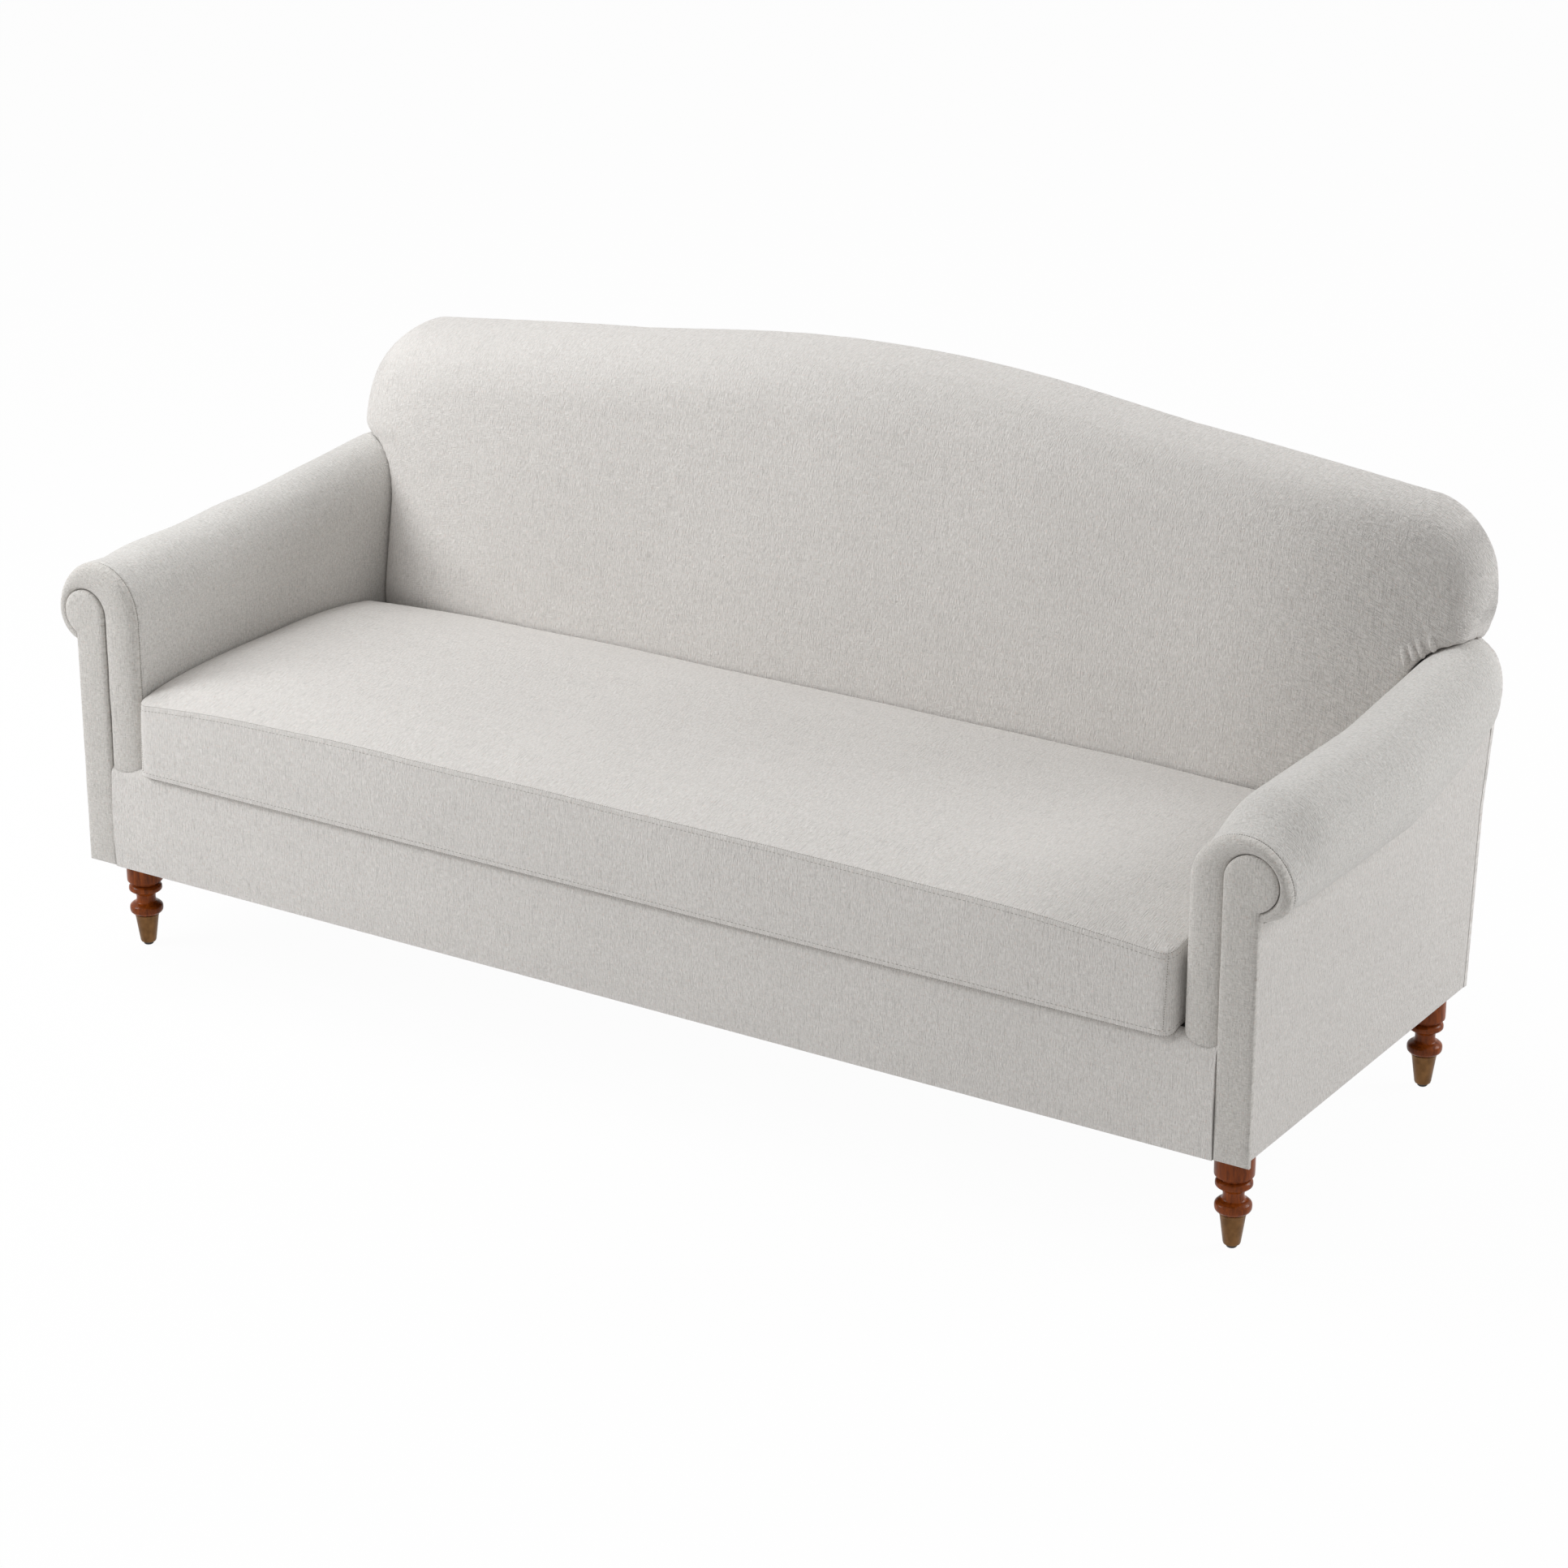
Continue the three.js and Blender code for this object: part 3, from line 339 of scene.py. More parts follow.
def roll_at(along, inset, left=False):
    """The roll's centre, half sizes and crease; the left arm is drawn in less at its front seam."""
    draw = 1 - ease(along / SWELL_LENGTH)
    sag = LEFT_SAG * ease(along / SAG_GROWS) * (1 - ease((along - SAG_FADES_FROM) / SAG_FADES_OVER)) if left else 0
    crease_lift = (LEFT_CREASE_LIFT if left else SEAM_CREASE_LIFT) * draw
    narrower = LEFT_DRAW_ACROSS * draw if left else 0
    draw *= LEFT_DRAW if left else 1
    climb = max(0, along - CLIMB_START) / (ARM_LENGTH - CLIMB_START)
    tuck = ROLL_TUCK * (max(0, along - ARM_LENGTH + ROLL_TUCK_LENGTH) / ROLL_TUCK_LENGTH) ** 2
    return dict(
        x=ROLL_CENTRE - ROLL_TAPER * climb - tuck - narrower,
        z=ROLL_CENTRE_HEIGHT - SEAM_DROP * draw - sag + ROLL_CLIMB * climb ** ROLL_CLIMB_POWER - tuck,
        wide=ROLL_HALF_WIDTH - SEAM_DRAW_ACROSS * draw - ROLL_TAPER * climb - tuck - inset - narrower,
        high=ROLL_HALF_HEIGHT - SEAM_DRAW_HIGH * draw - tuck - inset,
        crease=CREASE_HEIGHT + crease_lift + CREASE_CLIMB * climb ** CREASE_CLIMB_POWER + LIP_SHARE * inset,
        across=CURL_ACROSS + FULLER_ACROSS * ease(along / FULLER_LENGTH),
        drop=CURL_DROP + FULLER_DROP * ease(along / FULLER_LENGTH),
    )


def arm_section(along, inset, stalk, foot, left=False):
    """The arm's outline in x and z: up the inside, over the roll, round the curl."""
    roll = roll_at(along, inset, left)
    x, z, wide = roll["x"], roll["z"], roll["wide"]
    up = stack(x - wide, np.linspace(foot, z, SIDE_STEPS, endpoint=False))
    over = arc(x, z, wide, roll["high"], np.linspace(math.pi, 0, ARC_STEPS))
    pull = [stalk + roll["across"] * (x + wide - stalk), z - roll["drop"] * (z - roll["crease"])]
    t = np.linspace(0, 1, CURL_STEPS + 1)[1:, None]
    return np.r_[up, over, (1 - t) ** 2 * over[-1] + 2 * t * (1 - t) * pull + t ** 2 * [stalk, roll["crease"]]]


def camel_half():
    """The back's top line, from its middle to the wing's side."""
    def bezier(points, steps):
        t = np.linspace(0, 1, steps + 1)[:, None]
        n = len(points) - 1
        return sum(math.comb(n, k) * (1 - t) ** (n - k) * t ** k * np.array(p, float)
                   for k, p in enumerate(points))
    shoulder = BACK_HEIGHT - CAMEL_DROP
    corner = WING_REACH - CORNER_WIDTH
    glide = shoulder - (shoulder - CORNER_HEIGHT) * 0.4 * 0.64
    pull = (WING_TOP + CORNER_HEIGHT) / 2
    hump = bezier([(0, BACK_HEIGHT), (0.2 * WING_REACH, BACK_HEIGHT),
                   (0.31 * WING_REACH, BACK_HEIGHT - 0.45 * CAMEL_DROP), (0.5 * WING_REACH, shoulder)], 40)
    slope = bezier([(0.5 * WING_REACH, shoulder), (0.64 * WING_REACH, glide), (corner, CORNER_HEIGHT)], 30)
    turn = bezier([(corner, CORNER_HEIGHT), (corner + 0.46 * CORNER_WIDTH, CORNER_HEIGHT),
                   (WING_REACH, pull), (WING_REACH, WING_TOP)], 36)
    return np.concatenate([hump, slope[1:], turn[1:]])


CAMEL = camel_half()


def back_front(x, z):
    """Depth of the back's front face."""
    start = RECESS_START * WING_REACH
    recess = np.maximum(0, np.abs(x) - start) / (WING_REACH - start)
    height = np.clip((z - DECK_TOP) / (BACK_HEIGHT - BACK_ROUND - DECK_TOP), 0, 1)
    crown = BACK_CROWN * np.sin(math.pi * height) * (1 - 0.8 * np.minimum(recess, 1))
    lean = BACK_LEAN * np.maximum(0, z - BACK_LEAN_START)
    return BACK_FOOT + lean + END_RECESS * recess ** RECESS_POWER - crown


# Materials: colours are written as sRGB, 0 to 255, and scales as noise cells a metre

def linear(colour):
    """An sRGB colour as Blender's linear RGBA."""
    shares = [c / 255 for c in colour]
    return (*(s / 12.92 if s <= 0.04045 else ((s + 0.055) / 1.055) ** 2.4 for s in shares), 1)


class Nodes:
    """The node tree of a material or a world, with short calls for the nodes used here."""

    def __init__(self, owner, output="ShaderNodeOutputMaterial"):
        owner.use_nodes = True
        self.owner, self.tree = owner, owner.node_tree
        self.tree.nodes.clear()
        self.out = self.add(output)

    def add(self, kind, inputs=(), **settings):
        """A new node, with values or sockets for its inputs."""
        node = self.tree.nodes.new(kind)
        for key, value in settings.items():
            setattr(node, key, value)
        for key, value in dict(inputs).items():
            if isinstance(value, bpy.types.NodeSocket):
                self.tree.links.new(value, node.inputs[key])
            else:
                node.inputs[key].default_value = value
        return node

    def space(self, kind, scale):
        """Fabric coordinates for UV, or else the object's, times a scale or three."""
        source = self.add("ShaderNodeUVMap", uv_map="cloth") if kind == "UV" else self.add("ShaderNodeTexCoord")
        scale = scale if isinstance(scale, tuple) else (scale,) * 3
        return self.add("ShaderNodeMapping", {"Vector": source.outputs[kind], "Scale": scale}).outputs["Vector"]

    def pattern(self, kind, scale, detail=1, rough=0.5, distortion=0):
        return self.add("ShaderNodeTexNoise", {
            "Vector": self.space(kind, scale), "Scale": 1, "Detail": detail, "Roughness": rough,
            "Distortion": distortion}).outputs["Fac"]

    def math(self, operation, first, second):
        return self.add("ShaderNodeMath", {0: first, 1: second}, operation=operation).outputs[0]

    def weighted(self, *pairs, plus=None):
        """The sum of sources times their weights, and of a number."""
        total = plus
        for source, weight in pairs:
            term = self.math("MULTIPLY", source, weight)
            total = term if total is None else self.math("ADD", total, term)
        return total

    def ramp(self, value, low_at, low, high_at, high):
        node = self.add("ShaderNodeValToRGB", {"Fac": value})
        for element, at, colour in zip(node.color_ramp.elements, (low_at, high_at), (low, high)):
            element.position = at
            element.color = colour
        return node.outputs["Color"]

    def times(self, first, *others):
        """Colours multiplied together."""
        for other in others:
            node = self.add("ShaderNodeMix", {"Factor": 1, 6: first, 7: other}, data_type="RGBA", blend_type="MULTIPLY")
            first = node.outputs[2]
        return first

    def end(self, shader):
        self.tree.links.new(shader, self.out.inputs["Surface"])

    def shader(self, colour, height, bump, roughness, **sockets):
        """A principled shader, its bump the strength and distance of a height."""
        normal = self.add("ShaderNodeBump", {"Height": height, "Strength": bump[0], "Distance": bump[1]})
        sockets = {key.replace("_", " "): value for key, value in sockets.items()}
        self.end(self.add("ShaderNodeBsdfPrincipled", {
            "Base Color": colour, "Roughness": roughness, "Normal": normal.outputs["Normal"], **sockets,
        }).outputs["BSDF"])
        return self.owner

    def end_white(self, lit, white, share=1):
        """Shows white to the camera, reflections and glass, and the lit shader to all else."""
        path = self.add("ShaderNodeLightPath")
        seen = path.outputs["Is Camera Ray"]
        for ray in ("Is Glossy Ray", "Is Transmission Ray"):
            seen = self.math("MAXIMUM", seen, path.outputs[ray])
        seen = self.math("MULTIPLY", seen, share)
        self.end(self.add("ShaderNodeMixShader", {"Fac": seen, 1: lit, 2: white}).outputs["Shader"])


def new_material(name):
    return Nodes(bpy.data.materials.new(name))


def grey(level):
    return (level, level, level, 1)


def chenille(name, light, dark, slub=(560, 125, 1), weft=(90, 620, 1), weft_share=0.24, wings=0.0):
    """Soft woven chenille: fuzzy slubs along the warp, ribs of weft across them, pinkish flecks.

    wings adds to the ribs where the cloth is stretched round the right-hand wing.
    """
    n = new_material(name)
    slubs = n.pattern("UV", slub, distortion=0.25)
    fibres = n.pattern("UV", (1300, 240, 1))
    ribs = n.pattern("UV", weft, distortion=0.2)
    streaks = n.pattern("UV", (700, 24, 1))
    flecks = n.pattern("UV", (420, 150, 1))
    wide = n.pattern("Object", 3.2, 3)
    weave = n.weighted((slubs, 0.76 - weft_share), (fibres, 0.24), (ribs, weft_share))
    if wings:
        across = n.add("ShaderNodeSeparateXYZ", {"Vector": n.space("Object", 1)}).outputs[0]
        stretched = n.add("ShaderNodeMapRange", {"Value": across, "From Min": 0.6, "From Max": 0.86, "To Max": wings},
                          interpolation_type="SMOOTHSTEP")
        raised = n.math("MULTIPLY", n.math("SUBTRACT", ribs, 0.5), stretched.outputs["Result"])
        weave = n.math("ADD", weave, raised)
    colour = n.times(n.ramp(weave, 0.36, linear(dark), 0.64, linear(light)),
                     n.ramp(flecks, 0.6, grey(1), 0.74, (1.0, 0.94, 0.92, 1)),
                     n.ramp(streaks, 0.33, grey(0.88), 0.44, grey(1)),
                     n.ramp(wide, 0.3, grey(0.97), 0.7, grey(1)))
    return n.shader(colour, weave, (1.0, 0.0031), 0.92, Sheen_Weight=0.15, Sheen_Roughness=0.45,
                    Specular_IOR_Level=0.15)


def mottled(name, light, dark, roughness, size, detail=4, rough=0.6, span=(0.3, 0.7), bump=(0.2, 0.0004), **sockets):
    """A plain material with a fine uneven surface."""
    n = new_material(name)
    mottle = n.pattern("Object", size, detail, rough)
    return n.shader(n.ramp(mottle, span[0], linear(dark), span[1], linear(light)), mottle, bump, roughness, **sockets)


def wood(name, light, dark, gloss, scale):
    n = new_material(name)
    grain = n.pattern("Object", scale, 5, 0.62, 0.6)
    pores = n.pattern("Object", tuple(4 * s for s in scale), 3, 0.6)
    figure = n.weighted((grain, 0.75), (pores, 0.25))
    colour = n.ramp(figure, 0.32, linear(dark), 0.66, linear(light))
    return n.shader(colour, figure, (0.12, 0.0005), n.weighted((pores, 0.14), plus=gloss),
                    Specular_IOR_Level=0.12, Coat_Weight=0.12, Coat_Roughness=0.1)


def bronze():
    n = new_material("ferrule_bronze")
    brushed = n.pattern("Object", (240, 240, 2600), 3, 0.6)
    patches = n.pattern("Object", (90, 90, 60), 3, 0.6)
    colour = n.ramp(patches, 0.3, linear((98, 68, 38)), 0.7, linear((126, 90, 54)))
    return n.shader(colour, brushed, (0.15, 0.0003), n.weighted((brushed, 0.2), plus=0.3),
                    Metallic=0.75, Specular_IOR_Level=0.3)


PALE, PALE_SHADE = (244, 241, 238), (220, 217, 213)
ARM_WEAVE = ((520, 150, 1), (150, 560, 1), 0.36)
CLOTH = chenille("chenille", PALE, PALE_SHADE)
CLOTH_ARM = chenille("chenille_arm", (243, 241, 238), (210, 208, 204), *ARM_WEAVE)
# Painted shade: a darker copy of the arm cloth, which makes the front bands and facings darker than the lamps light
# them
CLOTH_FRONT_SHADED = chenille("chenille_front_painted_shade", (233, 230, 226), (202, 199, 194), *ARM_WEAVE)
CLOTH_BACK = chenille("chenille_back", PALE, PALE_SHADE, wings=0.55)
TWIST = dict(detail=1, rough=0.5, span=(0.35, 0.65), bump=(0.5, 0.0002), Specular_IOR_Level=0.2)
# The thread is much darker than the cloth: partly the thread's own colour, partly painted shade of the puckers beside
# each stitch
THREAD_AND_SHADE = mottled("seam_thread_and_shade", (184, 180, 174), (156, 152, 146), 0.8, 1500, **TWIST)
# Painted shade: a dark material for thin lines laid in creases, grooves and along a seam, where shade falls
PAINTED_SHADE = mottled("painted_seam_shade", (134, 130, 124), (104, 100, 95), 0.8, 1500, **TWIST)
DECK_CLOTH = mottled("deck_cloth", (44, 43, 43), (24, 24, 24), 0.95, 700, 3, bump=(0.4, 0.0008))
DUST_CLOTH = mottled("dust_cloth", (40, 40, 41), (22, 22, 23), 0.95, 700, 3, bump=(0.4, 0.0008))
LEG_WOOD = wood("leg_wood", (160, 78, 24), (90, 38, 6), 0.24, (160, 160, 26))
FRAME_WOOD = wood("frame_hardwood", (206, 176, 132), (168, 132, 90), 0.5, (60, 14, 60))
BRONZE = bronze()
GLIDE = mottled("glide_rubber", (52, 42, 36), (34, 28, 25), 0.55, 500)
STEEL = mottled("spring_steel", (142, 142, 146), (98, 98, 104), 0.35, 300, Metallic=1)
FOAM = mottled("foam", (236, 226, 196), (222, 210, 178), 0.95, 420)
ZIP = mottled("zip_tape", (198, 196, 191), (176, 174, 170), 0.6, 600)


def dress(made, material, *nodes, body="frame", slot="upholstery"):
    made.data.materials.clear()
    made.data.materials.append(material)
    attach(made, body)
    if nodes:
        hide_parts(*nodes)
    return made


# Seams, stitches, folds and painted shade lines

def even_steps(step, path, *others):
    """A path, and lines that go with it, at even steps along the path."""
    length = arc_lengths(path)
    at = np.linspace(0, length[-1], max(2, int(round(length[-1] / step))) + 1)
    return [stack(*(np.interp(at, length, line[:, k]) for k in range(3))) for line in (path, *others)]


def even_path(path, out, step):
    """A path at even steps, with its outward and sideways directions."""
    place, normal = even_steps(step, path, out)
    tangent = unit(np.gradient(place, axis=0))
    side = unit(np.cross(tangent, unit(normal)))
    return place, np.cross(side, tangent), side


def circles(centre, radius, up, side, count):
    """A ring of points round each centre, across the path."""
    turns = np.linspace(0, 2 * math.pi, count, endpoint=False)[:, None]
    return centre[:, None] + radius[:, None, None] * (np.cos(turns) * up[:, None] + np.sin(turns) * side[:, None])


def ridge(name, path, out, radius, material, sink):
    """A raised seam or a painted shade line: a fine rounded line that follows a path, its ends run in."""
    place, up, side = even_path(path, out, 4.0)
    at = np.arange(len(place))
    taper = np.minimum(1, np.minimum(at, at[::-1]) / 3 + 0.25)
    rings = circles(place - up * radius * sink, radius * taper, up, side, 8)
    return dress(loft(name, rings, stack(0, np.arange(rings[..., 0].size) * 0.5)), material)


def laid_on(carrier, path):
    """A path moved onto a piece's surface, and the surface's directions there."""
    faces = [tuple(face.vertices) for face in carrier.data.polygons]
    tree = BVHTree.FromPolygons(read_mesh(carrier).tolist(), faces)
    found = [tree.find_nearest(Vector(p))[:2] for p in even_steps(4.0, path)[0].tolist()]
    return [np.array(part) for part in zip(*found)]


STITCH_SIZE = (0.45, 1, 1, 0.45)
STITCH_LIFT = (-0.55, 0.1, 0.1, -0.55)


def stitches(name, path, out, body, radius, material=THREAD_AND_SHADE, length=4.2, gap=2.6):
    """A row of stitches: short threads that dip into the cloth at both ends."""
    lines = even_path(path, out, (length + gap) / 4)
    count = (len(lines[0]) - 1) // 4
    place, up, side = (line[:4 * count] for line in lines)
    lift = np.tile(STITCH_LIFT, count)[:, None] * radius
    points = circles(place + up * lift, np.tile(STITCH_SIZE, count) * radius, up, side, 6)
    faces = [tuple(24 * at + k for k in face) for at in range(count) for face in tube_faces(4, 6)]
    return dress(outward(new_object(name, points, faces)), material, body=body)


def seam(name, path, out, body, radius, material):
    """The fine puckered line of a sewn seam, its close dark dashes painted shade of the puckers."""
    return stitches(name, path, out, body, radius, material, 2.6, 1.0)


def fold(name, carrier, start, end, width, height, material):
    """A small soft fold that lies on another piece, from one point to the other."""
    def closest(spot):
        _, place, normal, _ = carrier.closest_point_on_mesh(Vector(metres(spot)))
        return np.array(place) * 1000 + [0, DEPTH_SHIFT, 0], np.array(normal)

    near, under = [], []
    for row in np.linspace(0, 1, 14):
        centre = start + (end - start) * row
        side = unit(np.cross(unit(end - start), closest(centre)[1]))
        grow = math.sin(math.pi * min(1, 0.25 + 0.75 * row)) ** 0.8
        for column in np.linspace(-1, 1, 9):
            surface, normal = closest(centre + side * column * width * (0.55 + 0.45 * grow) / 2)
            rise = height * grow * (1 - column ** 2) ** 0.6
            near.append(surface + normal * (rise - 0.12))
            under.append(surface - normal * 1.2)
    near, under = (np.reshape(grid, (14, 9, 3)) for grid in (near, under))
    return dress(board(name, near, under, (0, 2)), material)


# Arm pads: cloth over a shell of padding, from the front seam to the back

PAD_FRONT_STEPS = [0, 0.8, 2.4, 5, 9, 15]
PAD_REAR_STEPS = np.array([18, 9, 4, 0])
PAD_TURN = 3.2
PAD_TURN_LENGTH = 9
SETTLE = 0.6


def crease_pull(below):
    """How far the outside panel's cloth is drawn in, at a distance below the roll's crease."""
    return CREASE_PULL * (1 - ease(below / CREASE_PULL_REACH))


def arm_pad(side):
    alongs = np.r_[PAD_FRONT_STEPS, np.linspace(24, ARM_LENGTH - 30, 66), ARM_LENGTH - PAD_REAR_STEPS]
    rings, uvs = [], []
    for along in alongs:
        turned_in = PAD_TURN * (1 - math.sqrt(1 - (1 - min(1, along / PAD_TURN_LENGTH)) ** 2))
        outer, inner = (arm_section(along, inset, STALK_OUTSIDE, DECK_TOP + CLEARANCE, side < 0)
                        for inset in (turned_in, ARM_PAD))
        x, z = np.r_[outer, inner[::-1]].T
        depth = arm_depth(along / ARM_LENGTH, z)
        cloth = arc_lengths(outer)
        rings.append(stack(x, depth, z))
        uvs.append(stack(depth, np.r_[cloth, cloth[::-1]]))
    rings = np.array(rings)
    count = rings.shape[1] // 2
    outer = rings[:, :count]
    swell = ripple(outer, 120, 1.3, 3 + side) + ripple(outer, 38, 0.35, 7 + side)
    away = outer - [ROLL_CENTRE, 0, ROLL_CENTRE_HEIGHT - 30]
    away[..., 1] = 0
    calm = ease(np.minimum(alongs, ARM_LENGTH - alongs) / 60)[:, None]
    outer += unit(away) * (swell * calm - SETTLE)[..., None]
    rings[..., 0] *= side
    name = f"{SIDES[side]}_arm_padding"
    made = loft(name, rings, uvs, 50)
    rim = rings[-1, SIDE_STEPS + 8:count - 2] - [0, 2, 0]
    out = rim - [side * ROLL_CENTRE, 0, ROLL_CENTRE_HEIGHT]
    out[:, 1] = 0
    ridge(name + "_rim", rim, out, 2.2, CLOTH, 0.3)
    # Painted shade: a thin dark line on the outside panel just under the roll, where the roll's shade falls
    crease = rings[6:-2, count - 1]
    below = np.linspace(CREASE_SEAM_FRONT, CREASE_SEAM_REAR, len(crease))
    crease = stack(side * (ARM_OUTSIDE - SETTLE - crease_pull(below)), crease[:, 1], crease[:, 2] - below)
    ridge(name + "_crease_shade", crease, np.tile([side, 0, 0], (len(crease), 1)), 1.5, PAINTED_SHADE, 0.3)
    dress(made, CLOTH_ARM, f"{SIDES[side]}_arm_pad")


# Arm front bands: a padded strip that runs up, over and round the facing

# At each station: the share of the way from the facing to the outer edge, the depth in front of
# the back plane, and how far the edge is tucked in
BAND_ACROSS = np.array([0, 0, 0.01, 0.035, 0.08, 0.15, 0.25, 0.37, 0.5, 0.62, 0.72, 0.8, 0.865, 0.915, 0.955,
                        0.982, 0.998, 1, 1])
BAND_DEPTH = np.array([20, 11, 8.2, 6.0, 4.2, 2.8, 2.0, 1.8, 2.2, 3.1, 4.3, 5.8, 7.6, 9.7, 12.1, 14.7, 17.2,
                       18.8, 20])
BAND_TUCK = np.array([0] * 16 + [0.3, 1.2, 2.8])


def apron_top(y):
    """Height of the front rail cover's rounded top edge at a depth."""
    inside = np.clip(y, 0, APRON_ROUND)
    return DECK_TOP - APRON_ROUND + np.sqrt(APRON_ROUND ** 2 - (APRON_ROUND - inside) ** 2)


def head_radius(side):
    """The facing's round head; the photograph's left one is a little smaller."""
    return HEAD_RADIUS - (LEFT_HEAD_LESS if side < 0 else 0)


def head_end(outer, head, radius):
    """The angle at which the round head meets the stile's outer side."""
    return math.asin((outer - head) / radius) - math.pi / 2


def arm_band(side):
    radius = head_radius(side)
    head = FACING_INNER + radius
    outer = arm_section(0, 0, FACING_OUTER, DECK_UNDER, side < 0)
    stile = stack(FACING_INNER - CLEARANCE, np.linspace(DECK_UNDER, HEAD_HEIGHT, SIDE_STEPS, endpoint=False))
    end = head_end(FACING_OUTER, head, radius)
    turn = np.r_[np.linspace(math.pi, 0, ARC_STEPS), np.linspace(0, end, CURL_STEPS + 1)[1:]]
    grown = radius + CLEARANCE
    inner = np.r_[stile, arc(head, HEAD_HEIGHT, grown, grown, turn)]
    width = np.linalg.norm(outer - inner, axis=1)[:, None]
    flat = inner[:, None] + (outer - inner)[:, None] * (BAND_ACROSS - BAND_TUCK / width)[..., None]
    rings = stack(flat[..., 0], BAND_DEPTH, flat[..., 1])
    uvs = stack(BAND_ACROSS * width, arc_lengths(outer)[:, None])
    rings[:, 2:-2, 1] += ripple(rings, 60, 1.2, 11 + side)[:, 2:-2]
    rings[..., 2] = np.maximum(rings[..., 2], apron_top(rings[..., 1]) + 0.5)
    rings[..., 0] *= side
    name = f"{SIDES[side]}_front_band"
    made = loft(name, rings, uvs, 60)
    edge = rings[SIDE_STEPS // 4:, 18]
    out = edge - rings[SIDE_STEPS // 4:, 7]
    out[:, 1] = 0
    out = unit(out)
    # The seam line along the band's edge: on the right arm it is painted shade, darker than the left arm's
    # thread-coloured line
    seam(name + "_seam", edge + out * 1.1, out, "frame", 0.65, PAINTED_SHADE if side > 0 else THREAD_AND_SHADE)
    dress(made, CLOTH_FRONT_SHADED, f"{SIDES[side]}_arm_front_band")


# Facings: a padded stile with a round head

FACING_STEPS = 40
GROOVE_DEPTH = 12
# Depth, how far in from the edge, and how far the stalk's outer side steps in behind its board
FACING_EDGE = np.array([
    (20, 0.4, 7), (9, 0.4, 7), (8.5, 0.2, 0), (4.4, 0, 0), (3, 0.2, 0), (1.7, 0.9, 0), (0.7, 2, 0),
    (-0.2, 3.8, 0), (-0.9, 6.4, 0), (-1.4, 10, 0), (-1.8, 15, 0), (-2, 22, 0)])


def facing(side):
    head = FACING_INNER + head_radius(side)

    def outline(inset, step_in):
        radius = head_radius(side) - inset
        foot, inner, outer = UNDER_HEIGHT + inset, FACING_INNER + inset, FACING_OUTER - inset - step_in
        up = np.linspace(foot, HEAD_HEIGHT, FACING_STEPS, endpoint=False)
        turn = np.linspace(math.pi, head_end(outer, head, radius), 56)
        over = arc(head, HEAD_HEIGHT, radius, radius, turn)
        down = np.linspace(over[-1][1], foot, FACING_STEPS + 1)[1:]
        bottom = np.linspace(outer, inner, 8)[1:-1]
        return np.r_[stack(inner, up), over, stack(outer, down), stack(bottom, foot)]

    lines = np.array([outline(*edge) for edge in FACING_EDGE[:, 1:]])
    rings = stack(lines[..., 0], FACING_EDGE[:, :1], lines[..., 1])
    rings[1:, :, 1] += ripple(rings[1:], 50, 0.5, 21 + side)
    rings[..., 0] *= side
    name = f"{SIDES[side]}_facing"
    made = loft(name, rings, lines, 48)
    # Painted shade: a thin dark line in the groove between the facing and the band, up its inner side and round its
    # head
    groove = rings[3, :FACING_STEPS + 54].copy()
    groove[:, 1] = GROOVE_DEPTH
    ridge(name + "_groove_shade", groove, np.tile([0, -1, 0], (len(groove), 1)), 1.3, PAINTED_SHADE, 0.2)
    dress(made, CLOTH_FRONT_SHADED, f"{SIDES[side]}_arm_facing")


# Outside arm panels and the outside back: cloth over board

NOTCH_DEPTH = 34
NOTCH_HEIGHT = 684
NOTCH_SPREAD = 16
BOARD_SIDE_INSET = 12
BOARD_TOP_INSET = 58


def slab(name, near, far, plane, material, *nodes, slot="upholstery"):
    return dress(board(name, near, far, plane, 38), material, *nodes, slot=slot)


def arm_panel(side):
    shares, rows = np.linspace(0, 1, 70), np.linspace(0, 1, 40)[:, None]
    top = np.array([roll_at(share * ARM_LENGTH, 0, side < 0)["crease"] for share in shares]) - CLEARANCE
    z = UNDER_HEIGHT + rows * (top - UNDER_HEIGHT)
    y = arm_depth(shares, z)
    near, far = stack(ARM_OUTSIDE, y, z), stack(side * (ARM_OUTSIDE - PANEL), y, z)
    edge = np.minimum(350 * np.minimum(rows, 1 - rows), 690 * np.minimum(shares, 1 - shares))
    near[..., 0] += ripple(near, 130, 0.9, 31 + side) * ease(edge / 60) - 0.9
    near[..., 0] -= crease_pull(top - z)
    near[..., 0] *= side
    name = f"{SIDES[side]}_outside_arm"
    bevel(slab(name, near, far, (1, 2), CLOTH, name + "_panel"), 0.6)


def rear_half_width(z):
    """Half the width of the outside back at each height, below its top line."""
    outer = arm_section(ARM_LENGTH, CLEARANCE, ARM_OUTSIDE, UNDER_HEIGHT)[SIDE_STEPS + ARC_STEPS // 2:]
    side = WING_REACH - BOARD_SIDE_INSET - CLEARANCE
    rising = outer[np.argsort(outer[:, 1])]
    rolled = np.maximum(np.interp(z, rising[:, 1], rising[:, 0]), side)
    reach = np.where((z > outer[-1][1]) & (z < WING_FOOT), rolled, ARM_OUTSIDE - CLEARANCE)
    reach = np.where(z >= min(WING_FOOT, outer[0][1]), side, reach)
    return reach - NOTCH_DEPTH * np.exp(-((z - NOTCH_HEIGHT) / NOTCH_SPREAD) ** 2)


